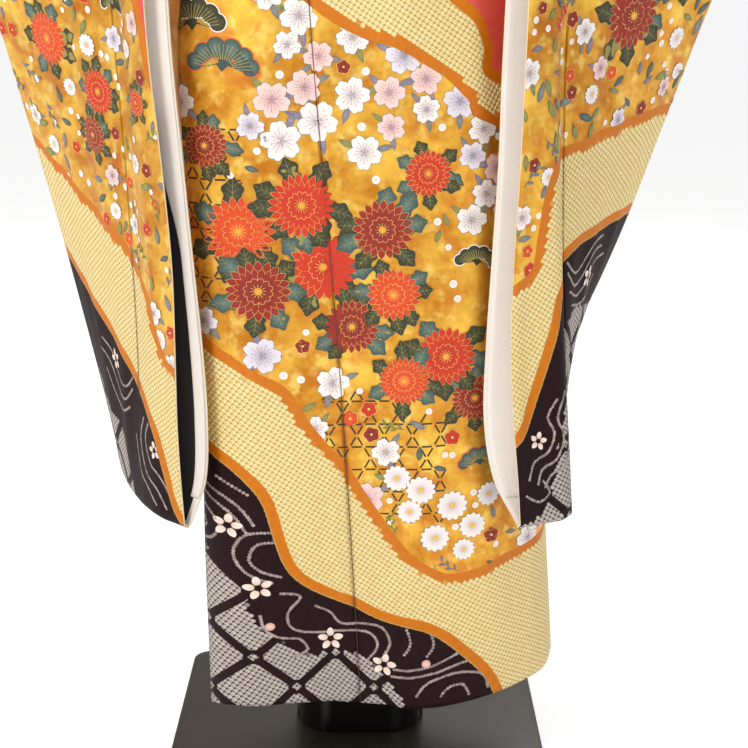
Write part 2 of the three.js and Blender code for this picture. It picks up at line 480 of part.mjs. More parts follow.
// The plain flat drum knot: the obi's end folded flat at the back.
function drumKnot() {
  const half = 145, low = 935, high = 1140, y0 = 129, thick = 40;
  const cols = 10, rows = 8, grid = [];
  for (let j = 0; j < 2 * rows; j++) {
    const a = 2 * Math.PI * j / (2 * rows), n = 0.45;
    const cz = Math.sign(Math.cos(a)) * Math.pow(Math.abs(Math.cos(a)), n), cy = Math.sign(Math.sin(a)) * Math.pow(Math.abs(Math.sin(a)), n * 1.3);
    grid.push({ z: mix(low, high, (cz + 1) / 2), y: y0 + thick / 2 + cy * thick / 2 });
  }
  const positions = [], index = [];
  for (let i = 0; i <= cols; i++) {
    const x = mix(-half, half, i / cols);
    for (const g of grid) positions.push(x, g.y - 12 * Math.pow(x / half, 2), g.z);
  }
  const n = grid.length;
  for (let i = 0; i < cols; i++) for (let j = 0; j < n; j++) {
    const a = i * n + j, b = i * n + (j + 1) % n, c = (i + 1) * n + (j + 1) % n, d = (i + 1) * n + j;
    index.push(a, c, b, a, d, c);
  }
  const l = positions.length / 3;
  positions.push(-half, y0 + thick / 2 - 12, 1037, half, y0 + thick / 2 - 12, 1037);
  for (let j = 0; j < n; j++) {
    index.push(l, j, (j + 1) % n);
    index.push(l + 1, cols * n + (j + 1) % n, cols * n + j);
  }
  const geometry = new THREE.BufferGeometry();
  geometry.setAttribute('position', new THREE.Float32BufferAttribute(positions, 3));
  geometry.setIndex(index);
  return geometry;
}
pieces.obi_knot = drumKnot();

// ---------------------------------------------------------------- stand
function formTorso() {
  const count = 28, positions = [], index = [];
  for (const r of FORM) {
    for (let k = 0; k < count; k++) {
      const a = 2 * Math.PI * k / count, s = Math.sin(a), c = Math.cos(a), n = 2.15;
      const q = Math.pow(Math.pow(Math.abs(s), n) + Math.pow(Math.abs(c), n), -1 / n);
      positions.push(COLUMN.x + r.half * q * s, 2 + r.depth * q * c * (c > 0 ? -1 : -1), r.z);
    }
  }
  const rows = FORM.length;
  for (let i = 0; i < rows - 1; i++) for (let k = 0; k < count; k++) {
    const a = i * count + k, b = i * count + (k + 1) % count, c = (i + 1) * count + (k + 1) % count, d = (i + 1) * count + k;
    index.push(a, b, c, a, c, d);
  }
  const base = positions.length / 3;
  positions.push(COLUMN.x, 2, FORM[0].z, COLUMN.x, 2, FORM[rows - 1].z);
  for (let k = 0; k < count; k++) {
    index.push(base, (k + 1) % count, k);
    index.push(base + 1, (rows - 1) * count + k, (rows - 1) * count + (k + 1) % count);
  }
  const geometry = new THREE.BufferGeometry();
  geometry.setAttribute('position', new THREE.Float32BufferAttribute(positions, 3));
  geometry.setIndex(index);
  return geometry;
}
pieces.form_torso = formTorso();

function roundedSlab(width, depth, corner, height, x, y, z) {
  const w = width / 2, d = depth / 2, r = corner, shape = new THREE.Shape();
  shape.moveTo(-w + r, -d);
  shape.lineTo(w - r, -d);
  shape.absarc(w - r, -d + r, r, -Math.PI / 2, 0);
  shape.lineTo(w, d - r);
  shape.absarc(w - r, d - r, r, 0, Math.PI / 2);
  shape.lineTo(-w + r, d);
  shape.absarc(-w + r, d - r, r, Math.PI / 2, Math.PI);
  shape.lineTo(-w, -d + r);
  shape.absarc(-w + r, -d + r, r, Math.PI, 1.5 * Math.PI);
  const geometry = new THREE.ExtrudeGeometry(shape, { depth: height, bevelEnabled: false, curveSegments: 7, steps: 1 });
  geometry.translate(x, y, z);
  return geometry;
}
pieces.base_plate = roundedSlab(PLATE.side, PLATE.side, PLATE.corner, PLATE.thick, 0, 0, 0);
pieces.stand_column = roundedSlab(COLUMN.width, COLUMN.depth, COLUMN.corner, COLUMN.top - PLATE.thick - 0.3, COLUMN.x, COLUMN.y, PLATE.thick + 0.3);

// ---------------------------------------------------------------- scene
const cloth = { roughness: 0.6, metalness: 0.0 };
const FINISH = {
  gold: new THREE.MeshStandardMaterial({ name: 'gold_silk', color: 0xe1a528, ...cloth }),
  lining: new THREE.MeshStandardMaterial({ name: 'lining_silk', color: 0xf2ece4, ...cloth }),
  collar: new THREE.MeshStandardMaterial({ name: 'collar_silk', color: 0xe1553f, ...cloth }),
  obi: new THREE.MeshStandardMaterial({ name: 'obi_silk', color: 0xd9c9a0, ...cloth }),
  form: new THREE.MeshStandardMaterial({ name: 'form_shell', color: 0xe8e2d6, roughness: 0.5, metalness: 0 }),
  plate: new THREE.MeshStandardMaterial({ name: 'plate_paint', color: 0x50443a, roughness: 0.35, metalness: 0.3 }),
  column: new THREE.MeshStandardMaterial({ name: 'column_gloss', color: 0x0c0a0a, roughness: 0.15, metalness: 0 }),
};
const FINISH_OF = {
  collar: 'collar', obi: 'obi', obi_knot: 'obi', form_torso: 'form', base_plate: 'plate', stand_column: 'column',
  sleeve_left_lining: 'lining', sleeve_right_lining: 'lining',
};
const group = new THREE.Group();
for (const [name, geometry] of Object.entries(pieces)) {
  const mesh = new THREE.Mesh(geometry, FINISH[FINISH_OF[name] ?? 'gold']);
  mesh.name = name;
  group.add(mesh);
}
export default group;
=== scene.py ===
"""Furisode kimono worn on a limbless dress form stand: the visual model."""

import math
import random

import bpy
import numpy as np
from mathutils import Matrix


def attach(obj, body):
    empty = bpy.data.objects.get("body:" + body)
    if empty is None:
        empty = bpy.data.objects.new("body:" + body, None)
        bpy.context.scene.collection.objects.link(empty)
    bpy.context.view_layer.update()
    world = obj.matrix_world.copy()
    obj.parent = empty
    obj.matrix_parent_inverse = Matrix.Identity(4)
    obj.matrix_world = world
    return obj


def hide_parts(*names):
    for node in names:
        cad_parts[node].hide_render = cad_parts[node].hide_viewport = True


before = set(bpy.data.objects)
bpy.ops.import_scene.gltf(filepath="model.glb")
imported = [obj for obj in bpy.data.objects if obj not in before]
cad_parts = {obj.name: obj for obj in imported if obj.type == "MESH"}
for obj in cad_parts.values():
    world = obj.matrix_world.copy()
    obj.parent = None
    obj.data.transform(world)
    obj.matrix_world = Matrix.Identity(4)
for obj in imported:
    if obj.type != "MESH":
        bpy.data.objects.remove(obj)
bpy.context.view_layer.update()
MM = 0.001

# ------------------------------------------------------------------ the shared form, in mm
COLUMN = {"x": 2.5, "y": 47, "width": 137, "depth": 94, "corner": 44, "top": 705.7, "foot": 8.3}
PLATE = {"side": 400, "thick": 8, "corner": 20}
WALL, LAP, SEAM = 1.6, 3.4, 0.44
HEM_Z, BODICE_Z = 112, 1112
OBI = {"bottom": 958, "top": 1108, "wall": 2.4, "lift": 8.8}
TUCK = {"bottom": 886, "lift": 4.2}
NECK = {"half": 76, "z": 1420, "y": 12, "backY": 58, "backZ": 1404}
TIP = {"x": 288, "y": 3, "z": 1338}
COLLAR = {"width": 54, "wall": 1.8, "end": 1010, "edgeAtObi": -0.40, "edgeAtNeck": 0.264}
KENSAKI = 0.42


def table(names, rows):
    a = np.array(rows, float)
    return {n: a[:, i] for i, n in enumerate(names.split())}


BODY = table("z cx front back left right squareL squareR squareB", [
    (107, 42, 125, 132, -131, 207, 6.5, 2.15, 2.3), (180, 41, 125, 132, -131, 202, 6.5, 2.15, 2.3),
    (270, 39, 125, 131, -132, 196, 6.2, 2.15, 2.3), (400, 34, 126, 131, -137, 191, 5.0, 2.15, 2.3),
    (520, 29, 127, 131, -149, 188, 4.0, 2.2, 2.3), (640, 22, 128, 131, -166, 186, 3.2, 2.2, 2.3),
    (760, 12, 128, 131, -180, 182, 2.7, 2.2, 2.25), (850, 5, 123, 128, -176, 174, 2.4, 2.2, 2.2),
    (930, 2, 114, 116, -155, 155, 2.3, 2.2, 2.2), (1020, 0, 110, 107, -143, 145, 2.2, 2.2, 2.2),
    (1112, 0, 115, 106, -148, 148, 2.2, 2.2, 2.2)])
EDGES = table("z seamX freeOuter standOff freeInner seamInnerX", [
    (107, 5, -0.655, 19, 0.60, 66), (270, -3, -0.658, 18, 0.62, 62), (400, -10, -0.660, 16, 0.62, 58),
    (520, -18, -0.665, 14, 0.62, 52), (640, -27, -0.675, 12, 0.62, 46), (760, -36, -0.670, 9, 0.62, 40),
    (850, -40, -0.645, 5, 0.60, 36), (930, -36, -0.560, 2, 0.54, 32), (1020, -24, -0.500, 0, 0.46, 22),
    (1112, -10, -0.400, 0, 0.40, 10)])
SLEEVE_NAMES = "z outerZ fx fy mouth inset cx cy vx vy mx my ox oy"
SLEEVE_L = table(SLEEVE_NAMES, [
    (312, 312, 154, -146, 9, 0, 203, -124, 207, -88, 211, -10, 202, 88),
    (352, 350, 142, -144, 20, 16, 200, -124, 203, -90, 208, -12, 202, 86),
    (410, 408, 134, -143, 25, 20, 196, -124, 197, -92, 208, -16, 210, 78),
    (480, 480, 132, -142, 24, 15, 191, -124, 191, -95, 219, -26, 238, 56),
    (560, 566, 134, -142, 22, 12, 187, -124, 184, -98, 232, -34, 268, 38),
    (650, 664, 138, -141, 21, 11, 182, -123, 180, -99, 240, -40, 299, 26),
    (740, 760, 140, -140, 20, 11, 178, -121, 178, -98, 250, -42, 330, 18),
    (830, 850, 144, -136, 20, 9, 180, -116, 182, -94, 266, -42, 362, 12),
    (920, 930, 158, -118, 20, 7, 192, -102, 196, -82, 288, -38, 394, 8),
    (1010, 1005, 186, -86, 24, 5, 214, -78, 222, -62, 316, -30, 424, 6),
    (1090, 1065, 222, -42, 34, 2, 246, -42, 256, -36, 342, -20, 446, 4)])
SLEEVE_R = table(SLEEVE_NAMES, [
    (312, 312, 157, -146, 9, 0, 186, -120, 199, -98, 236, -26, 252, 60),
    (352, 350, 151, -144, 20, 13, 185, -119, 198, -97, 238, -26, 258, 58),
    (410, 408, 150, -144, 25, 15, 185, -118, 197, -96, 241, -28, 268, 54),
    (480, 480, 151, -143, 24, 12, 186, -118, 196, -96, 245, -32, 281, 47),
    (560, 566, 154, -142, 20, 8, 188, -118, 197, -96, 250, -36, 297, 38),
    (650, 664, 160, -141, 19, 8, 191, -118, 199, -97, 257, -40, 318, 28),
    (740, 760, 167, -140, 19, 9, 194, -118, 202, -97, 266, -42, 340, 20),
    (830, 850, 171, -135, 20, 9, 199, -113, 206, -93, 280, -42, 366, 14),
    (920, 930, 178, -117, 20, 7, 208, -100, 216, -82, 298, -38, 396, 9),
    (1010, 1005, 196, -86, 24, 5, 224, -78, 232, -62, 320, -30, 425, 6),
    (1090, 1065, 224, -42, 34, 2, 248, -42, 258, -36, 343, -20, 446, 4)])
SLEEVE_TOP = [(0.30, 1100, 458, 16, 26), (0.52, 1128, 468, 13, 24), (0.76, 1152, 476, 8, 16), (0.97, 1170, 482, 2, 7)]
FORM = table("z half depth", [
    (706, 96, 78), (716, 132, 104), (745, 146, 113), (800, 150, 115), (870, 142, 108), (950, 122, 93),
    (1010, 115, 87), (1090, 124, 93), (1170, 136, 93), (1240, 142, 82), (1300, 132, 64), (1340, 100, 50),
    (1366, 68, 42), (1388, 49, 37), (1425, 42, 34), (1470, 41, 34), (1480, 36, 29)])


def mix(a, b, t):
    return a + (b - a) * t


def smooth(a, b, v):
    t = np.clip((np.asarray(v, float) - a) / (b - a), 0, 1)
    return t * t * (3 - 2 * t)


def bump(v, centre, width):
    return np.exp(-((np.asarray(v, float) - centre) / width) ** 2)


def column(tab, name, z):
    z = np.asarray(z, float)
    Z, V = tab["z"], tab[name]
    i = np.clip(np.searchsorted(Z, z, side="left") - 1, 0, len(Z) - 2)
    h = Z[i + 1] - Z[i]
    t = np.clip((z - Z[i]) / h, 0, 1)
    im, ip = np.maximum(i - 1, 0), np.minimum(i + 2, len(Z) - 1)
    ma = (V[i + 1] - V[im]) / (Z[i + 1] - Z[im]) * h
    mb = (V[ip] - V[i]) / (Z[ip] - Z[i]) * h
    t2, t3 = t * t, t ** 3
    return (2 * t3 - 3 * t2 + 1) * V[i] + (t3 - 2 * t2 + t) * ma + (-2 * t3 + 3 * t2) * V[i + 1] + (t3 - t2) * mb


def skirt(z, p):
    z, p = np.broadcast_arrays(np.asarray(z, float), np.asarray(p, float))
    s, c = np.sin(p * math.pi / 2), np.cos(p * math.pi / 2)
    cx = column(BODY, "cx", z)
    a = np.where(s >= 0, column(BODY, "right", z) - cx, cx - column(BODY, "left", z))
    b = np.where(c >= 0, column(BODY, "front", z), column(BODY, "back", z))
    n = np.where(c < 0, column(BODY, "squareB", z), np.where(s >= 0, column(BODY, "squareR", z), column(BODY, "squareL", z)))
    r = ((np.abs(s) / a) ** n + (np.abs(c) / b) ** n) ** (-1 / n)
    return np.stack([cx + r * s, -r * c, z], -1)


def shoulder(x, back):
    ax = np.abs(x)
    k = smooth(0, NECK["half"], ax)
    out = np.clip((ax - NECK["half"]) / (TIP["x"] - NECK["half"]), 0, 1)
    inner = ax < NECK["half"]
    z0 = np.where(back, NECK["backZ"], NECK["z"] - 14)
    y0 = np.where(back, NECK["backY"], 0)
    z = np.where(inner, mix(z0, NECK["z"], k), mix(NECK["z"], TIP["z"], out ** 1.12))
    y = np.where(inner, mix(y0, NECK["y"], k), mix(NECK["y"], TIP["y"], out))
    return np.stack([x, y, z], -1)


def bodice(u, t, back):
    u, t, back = np.broadcast_arrays(np.asarray(u, float), np.asarray(t, float), np.asarray(back, bool))
    base = skirt(BODICE_Z, np.where(back, 2 - u, u))
    top = shoulder(u * TIP["x"], back)
    tx, ty = t ** 0.62, np.where(back, t ** 2.3, t ** 4)
    x = mix(base[..., 0], top[..., 0], tx)
    opening = np.where(back, 1, -1) * 30 * np.sin(math.pi * t ** 0.6) * np.abs(u) ** 3
    chest = np.where(back, 4, -9) * np.sin(math.pi * t ** 0.8) * (1 - u * u)
    return np.stack([x, mix(base[..., 1], top[..., 1], ty) + opening + chest, mix(BODICE_Z, top[..., 2], t)], -1)


def surface(level, p):
    level, p = np.broadcast_arrays(np.asarray(level, float), np.asarray(p, float))
    low = skirt(mix(HEM_Z, BODICE_Z, np.minimum(level, 1)), p)
    back = p > 1
    high = bodice(np.where(back, 2 - p, p), np.clip(level - 1, 0, 1), back)
    return np.where((level <= 1)[..., None], low, high)


def normal(level, p, back=False):
    level, p = np.broadcast_arrays(np.asarray(level, float), np.asarray(p, float))
    d = 0.004
    lo, hi = (1.0001, 3) if back else (-1, 1)
    wrap = level <= 1
    p0 = np.where(wrap, p - d, np.clip(p - d, lo, hi))
    p1 = np.where(wrap, p + d, np.clip(p + d, lo, hi))
    along = surface(level, p1) - surface(level, p0)
    up = surface(np.clip(level + d, 0, 2), p) - surface(np.clip(level - d, 0, 2), p)
    n = np.cross(along, up)
    return n / np.maximum(np.linalg.norm(n, axis=-1, keepdims=True), 1e-9)


def level_of(z):
    return (np.asarray(z, float) - HEM_Z) / (BODICE_Z - HEM_Z)


def z_of(level):
    return mix(HEM_Z, BODICE_Z, np.asarray(level, float))


def front_at_x(level, x):
    level, x = np.broadcast_arrays(np.asarray(level, float), np.asarray(x, float))
    lo, hi = np.full(level.shape, -1.0), np.full(level.shape, 1.0)
    for _ in range(30):
        m = (lo + hi) / 2
        less = surface(level, m)[..., 0] < x
        lo, hi = np.where(less, m, lo), np.where(less, hi, m)
    return (lo + hi) / 2


def edge(name, level):
    return column(EDGES, name, z_of(np.minimum(level, 1)))


def neckline(level):
    return mix(COLLAR["edgeAtObi"], COLLAR["edgeAtNeck"], np.asarray(level, float) - 1)


def side_left(level):
    return np.where(np.asarray(level) <= 1, mix(0.90, 1, smooth(0.2, 0.95, level)), 1)


def outer_free(level):
    return np.where(np.asarray(level) <= 1, edge("freeOuter", level), neckline(level))


P_SEAM_OUT = float(front_at_x(1, edge("seamX", 1)))
P_SEAM_IN = float(front_at_x(1, edge("seamInnerX", 1)))


def outer_seam(level):
    level = np.asarray(level, float)
    high = mix(P_SEAM_OUT, neckline(1 + KENSAKI) + 0.03, (level - 1) / KENSAKI)
    return np.where(level <= 1, front_at_x(np.minimum(level, 1), edge("seamX", level)), high)


def inner_free(level):
    return np.where(np.asarray(level) <= 1, edge("freeInner", level), -neckline(level))


def inner_seam(level):
    level = np.asarray(level, float)
    high = mix(P_SEAM_IN, -neckline(1 + KENSAKI) - 0.03, (level - 1) / KENSAKI)
    return np.where(level <= 1, front_at_x(np.minimum(level, 1), edge("seamInnerX", level)), high)


def tuck(level):
    level = np.asarray(level, float)
    z = z_of(level)
    return np.where(level > 1, 0, TUCK["lift"] * smooth(TUCK["bottom"] - 5, TUCK["bottom"] + 3, z) * (1 - smooth(936, 954, z)))


# ------------------------------------------------------------------ arc length round the body
_Z = np.linspace(HEM_Z - 14, BODICE_Z, 110)
_P = np.arange(-1.8, 3.801, 0.01)
_G = skirt(_Z[:, None], _P[None, :])
_U = np.concatenate([np.zeros((len(_Z), 1)), np.cumsum(np.linalg.norm(np.diff(_G, axis=1), axis=2), axis=1)], axis=1)
_U += -_U[:, [int(np.argmin(abs(_P)))]] + column(BODY, "cx", _Z)[:, None]


def u_of(p, z):
    """Distance round the body in mm, 0 near the front middle."""
    p, z = np.broadcast_arrays(np.asarray(p, float), np.asarray(z, float))
    fz = np.clip((z - _Z[0]) / (_Z[1] - _Z[0]), 0, len(_Z) - 1.001)
    fp = np.clip((p - _P[0]) / 0.01, 0, len(_P) - 1.001)
    i, j = fz.astype(int), fp.astype(int)
    a, b = fz - i, fp - j
    return (_U[i, j] * (1 - a) * (1 - b) + _U[i + 1, j] * a * (1 - b) + _U[i, j + 1] * (1 - a) * b + _U[i + 1, j + 1] * a * b)


# ------------------------------------------------------------------ folds of the cloth, in mm outward
SEAM_LINE_Z = np.linspace(90, BODICE_Z, 60)
SEAM_LINE_U = u_of(front_at_x(level_of(np.clip(SEAM_LINE_Z, HEM_Z, None)), edge("seamX", level_of(np.clip(SEAM_LINE_Z, HEM_Z, None)))), SEAM_LINE_Z)


def seam_u(z):
    return np.interp(z, SEAM_LINE_Z, SEAM_LINE_U)


def long_fold(u, z, top, foot, width, high):
    """A soft vertical ridge from (u, z) top to foot, fading at both ends."""
    t = np.clip((top[1] - z) / (top[1] - foot[1]), -0.2, 1.2)
    mid = mix(top[0], foot[0], t) + 5 * np.sin(t * 5 + top[0] * 0.07)
    return high * bump(u, mid, width * (0.75 + 0.5 * np.clip(t, 0, 1))) * smooth(-0.15, 0.12, t) * (1 - smooth(0.86, 1.18, t))


def fold_front(u, z):
    s = seam_u(z)
    low = 1 - smooth(880, 900, z)
    f = 1.2 * bump(u, s - 11, 9) - 0.6 * bump(u, s, 4.0) + 0.4 * bump(u, s + 11, 9)
    f = f + long_fold(u, z, (-78, 880), (-96, 130), 13, 1.9) + long_fold(u, z, (-118, 700), (-132, 180), 9, 1.3)
    f = f + long_fold(u, z, (38, 860), (62, 330), 15, 2.0) + long_fold(u, z, (96, 840), (142, 160), 17, 2.6)
    f = f + long_fold(u, z, (-40, 560), (-48, 300), 10, 1.2) + long_fold(u, z, (150, 700), (196, 120), 13, 2.2)
    f = f + 0.5 * np.sin(u * 0.052 + z * 0.011) * np.sin(z * 0.021 + 1)
    return np.maximum(f + 0.6, -0.6) * low


def fold_back(p, z):
    u = (p - 2) * 215
    f = 0
    for top, foot, w, h in (((-150, 860), (-178, 130), 16, 3.0), ((-88, 820), (-104, 160), 14, 2.2), ((-34, 880), (-30, 120), 12, 2.4),
                            ((28, 800), (40, 180), 15, 2.0), ((92, 870), (112, 120), 16, 3.0), ((150, 700), (170, 200), 12, 2.0)):
        f = f + long_fold(u, z, top, foot, w, h)
    side = smooth(1.02, 1.2, p) * (1 - smooth(2.8, 2.98, p))
    return (f - 0.7 * bump(u, 0, 3)) * side * (1 - smooth(880, 900, z))


def fold_bodice(level, p, back):
    t = np.clip(np.asarray(level, float) - 1, 0, 1)
    q = np.where(np.asarray(p) > 1, 2 - p, p)
    f = 0
    for c, d, w, h in ((0.34, 0.30, 0.07, 2.4), (0.52, 0.24, 0.06, 2.0), (0.70, 0.12, 0.07, 1.8), (0.20, 0.42, 0.05, 1.6)):
        f = f + h * bump(np.abs(q), c + d * (t - 0.4), w) * smooth(0.02, 0.25, t) * (1 - smooth(0.7, 0.95, t))
    return f * (1 - smooth(0.86, 0.98, np.abs(q)))


# ------------------------------------------------------------------ the three skins of the body
def outer_lift(level, p):
    level = np.asarray(level, float)
    sl = side_left(level)
    side = np.where(level <= 1, 1 - smooth(0, 1, (p - sl + 0.17) / 0.16), 1 - smooth(0.66, 0.95, p))
    over = np.where(level <= 1, 1, 1 - smooth(0.55, 1, level - 1) * smooth(0, 0.4, p))
    free = outer_free(level)
    away = np.where(level <= 1, edge("standOff", level) * (1 - smooth(0, 1, (p - free) / 0.62)) ** 1.6, 0)
    return LAP * side * over + away + tuck(level)


HEM_P = np.array([-1.0, -0.70, -0.655, -0.63, -0.58, -0.45, -0.30, -0.18, -0.05, 0.05, 0.2, 0.35, 0.5, 0.65, 0.85, 1.0, 1.4, 1.9, 3.0])
HEM_DZ = np.array([2.0, -2.0, -5.0, -1.0, 5.0, 9.0, 8.5, 4.0, 1.5, -3.5, -3.0, 0.5, 5.0, 8.5, 10.0, 9.0, 4.0, 0.5, 2.0])


def hem_rise(kind, p, z):
    """How far the hem's line lies above its level, fading upward."""
    d = np.interp(p, HEM_P, HEM_DZ)
    if kind == "inner":
        d = np.where(p > -0.72, 12.0, d)
    return d * (1 - smooth(HEM_Z, 290, z))


def skin(kind, level, p, extra=0.0):
    """Points of one skin of the body: the outer front, the inner front or the back."""
    level, p = np.broadcast_arrays(np.asarray(level, float), np.asarray(p, float))
    z = z_of(np.minimum(level, 1))
    if kind == "outer":
        lift = outer_lift(level, p) + np.where(level <= 1, fold_front(u_of(p, z), z) * (1 - smooth(0.80, 0.92, p)), fold_bodice(level, p, False) * smooth(neckline(level) + 0.03, neckline(level) + 0.16, p))
    elif kind == "inner":
        lift = np.where(level <= 1, tuck(level) * (1 - smooth(-0.86, -0.76, p)), fold_bodice(level, p, False) * (1 - smooth(neckline(level) - 0.56, neckline(level) - 0.36, p)) * (1 - smooth(-neckline(level) - 0.20, -neckline(level) - 0.06, p)))
    else:
        lift = tuck(level) + np.where(level <= 1, fold_back(p, z), fold_bodice(level, p, True))
    # the outer cloth bulges slightly over the doubled waist
    G = surface(level, p) + normal(level, p, kind == "back") * (lift + extra)[..., None]
    G[..., 2] += np.where(level <= 1, hem_rise(kind, p, z), 0)
    return G


# ------------------------------------------------------------------ curves that part the dyed fields
class Curve:
    """A smooth line through its knots in cloth coordinates (mm)."""

    def __init__(self, knots, wave=0.0, seed=0):
        k = np.array(knots, float)
        out = []
        for i in range(len(k) - 1):
            a, b = k[i], k[i + 1]
            m0 = (k[i + 1] - k[max(i - 1, 0)]) / 2
            m1 = (k[min(i + 2, len(k) - 1)] - k[i]) / 2
            n = max(3, int(np.linalg.norm(b - a) / 5))
            t = np.linspace(0, 1, n, endpoint=False)[:, None]
            out.append((2 * t ** 3 - 3 * t ** 2 + 1) * a + (t ** 3 - 2 * t ** 2 + t) * m0 + (-2 * t ** 3 + 3 * t ** 2) * b + (t ** 3 - t ** 2) * m1)
        pts = np.concatenate(out + [k[-1:]])
        if wave:
            pts[:, 1] += wave * np.sin(pts[:, 0] * 0.11 + seed) * np.sin(pts[:, 0] * 0.037 + seed * 2)
        self.a, self.b = pts[:-1], pts[1:]

    def near(self, q):
        """(signed distance, nearest point, upward normal) of points q; positive is above."""
        q = np.asarray(q, float)
        sd, foot, nrm = np.empty(len(q)), np.empty((len(q), 2)), np.empty((len(q), 2))
        ab = self.b - self.a
        ll = np.maximum((ab ** 2).sum(1), 1e-9)
        for s in range(0, len(q), 4000):
            x = q[s:s + 4000, None, :]
            t = np.clip(((x - self.a) * ab).sum(2) / ll, 0, 1)
            f = self.a + t[..., None] * ab
            d = np.linalg.norm(x - f, axis=2)
            i = d.argmin(1)
            r = np.arange(len(i))
            v = ab[i]
            n = np.stack([-v[:, 1], v[:, 0]], 1)
            n /= np.linalg.norm(n, axis=1, keepdims=True)
            side = np.sign(((q[s:s + 4000] - f[r, i]) * n).sum(1))
            sd[s:s + 4000] = d[r, i] * np.where(side == 0, 1, side)
            foot[s:s + 4000], nrm[s:s + 4000] = f[r, i], n
        return sd, foot, nrm


def on_front(pairs):
    """Knots given as (x, height) on the outer front."""
    out = []
    for x, z in pairs:
        l = float(level_of(min(max(z, HEM_Z), 880)))
        p = np.linspace(float(outer_free(l)), float(side_left(l)) * 0.98, 160)
        xs = surface(l, p) + normal(l, p) * outer_lift(np.full(p.shape, l), p)[:, None]
        xs = np.maximum.accumulate(xs[:, 0])
        u = u_of(p, z_of(l))
        v = float(np.interp(x, xs, u))
        if x < xs[0]:
            v = u[0] + (x - xs[0]) * 1.15
        out.append((v, z))
    return out


def on_body(pairs):
    p, z = np.array(pairs, float).T
    return list(zip(u_of(p, z), z))


ROUND = {  # beyond the front: (quarter turns, height)
    "A": [(1.05, 690), (1.35, 668), (1.7, 700), (2.05, 770), (2.4, 812), (2.75, 820), (3.1, 842), (3.45, 880), (3.75, 930)],
    "B": [(1.05, 640), (1.35, 604), (1.7, 628), (2.05, 694), (2.4, 742), (2.75, 752), (3.1, 780), (3.45, 822), (3.75, 860)],
    "C": [(1.0, 282), (1.3, 330), (1.6, 392), (1.95, 420), (2.3, 398), (2.65, 420), (3.0, 470), (3.3, 508), (3.7, 500)],
    "D": [(1.05, 50), (1.22, 70), (1.42, 160), (1.65, 256), (1.95, 292), (2.3, 272), (2.65, 298), (3.0, 352), (3.3, 396), (3.7, 380)],
    "E": [(1.0, 60), (1.4, 60), (1.7, 110), (1.95, 168), (2.2, 176), (2.5, 150), (2.8, 180), (3.1, 250), (3.3, 270), (3.7, 240)],
}
FRONT = {
    "A": [(-150, 1000), (-90, 944), (-30, 898), (28, 856), (70, 812), (92, 788), (109, 772), (119, 748), (128, 722)],
    "B": [(-150, 905), (-118, 852), (-76, 816), (-37, 790), (-2, 768), (34, 755), (76, 733), (104, 708), (122, 686)],
    "C": [(-162, 512), (-141, 487), (-108, 462), (-68, 441), (-49, 412), (-27, 381), (-10, 362), (8, 333), (28, 301), (55, 266), (78, 252), (104, 247), (140, 256), (172, 264)],
    "D": [(-162, 402), (-139, 382), (-108, 362), (-83, 333), (-71, 293), (-60, 264), (-40, 243), (-5, 225), (32, 208), (68, 199), (96, 180), (120, 154), (136, 128), (146, 100), (152, 70)],
    "E": [(-162, 296), (-141, 275), (-110, 244), (-100, 212), (-80, 187), (-46, 166), (-10, 168), (14, 158), (48, 117), (80, 60), (150, 50)],
}
BODY_CURVES = {n: Curve(on_front(FRONT[n]) + on_body(ROUND[n]), 1.3 if n in "BC" else 1.0, ord(n)) for n in FRONT}
SLEEVE_CURVES = {
    "L": {
        "A": Curve([(-30, 800), (0, 822), (60, 846), (130, 868), (220, 905), (330, 960)], 1.5, 2),
        "C": Curve([(-30, 520), (4, 539), (24, 553), (29, 584), (35, 624), (52, 648), (98, 652), (150, 660), (220, 668), (330, 672)], 1.2, 3),
        "D": Curve([(-30, 374), (6, 402), (22, 432), (36, 466), (47, 500), (56, 532), (96, 560), (150, 570), (220, 576), (330, 570)], 1.0, 4),
        "E": Curve([(-30, 300), (20, 318), (40, 352), (50, 392), (80, 470), (120, 500), (180, 492), (260, 500), (330, 520)], 1.0, 5),
    },
    "R": {
        "A": Curve([(-30, 660), (0, 724), (14, 786), (60, 832), (150, 868), (250, 905), (330, 950)], 1.5, 6),
        "C": Curve([(-30, 452), (4, 461), (20, 471), (33, 498), (44, 528), (84, 560), (150, 596), (230, 640), (330, 700)], 1.2, 7),
        "D": Curve([(-30, 292), (6, 322), (24, 362), (44, 404), (90, 446), (150, 486), (230, 536), (330, 600)], 1.0, 8),
        "E": Curve([(-30, 180), (40, 240), (100, 310), (140, 372), (190, 392), (250, 430), (330, 500)], 1.0, 9),
    },
}
for c in SLEEVE_CURVES.values():
    c["B"] = c["A"]


# ------------------------------------------------------------------ mesh building
def grid_normals(G, ring=False):
    dj = np.roll(G, -1, 1) - np.roll(G, 1, 1) if ring else np.gradient(G, axis=1)
    n = np.cross(dj, np.gradient(G, axis=0))
    return n / np.maximum(np.linalg.norm(n, axis=2, keepdims=True), 1e-9)


def vertex_normals(V, faces):
    n = np.zeros_like(V)
    for size in (3, 4):
        f = np.array([x for x in faces if len(x) == size])
        if not len(f):
            continue
        a = V[f[:, 2]] - V[f[:, 0]]
        b = (V[f[:, 3]] if size == 4 else V[f[:, 2]]) - V[f[:, 1]]
        fn = np.cross(a, b) if size == 4 else np.cross(V[f[:, 1]] - V[f[:, 0]], V[f[:, 2]] - V[f[:, 0]])
        for k in range(size):
            np.add.at(n, f[:, k], fn)
    return n / np.maximum(np.linalg.norm(n, axis=1, keepdims=True), 1e-9)


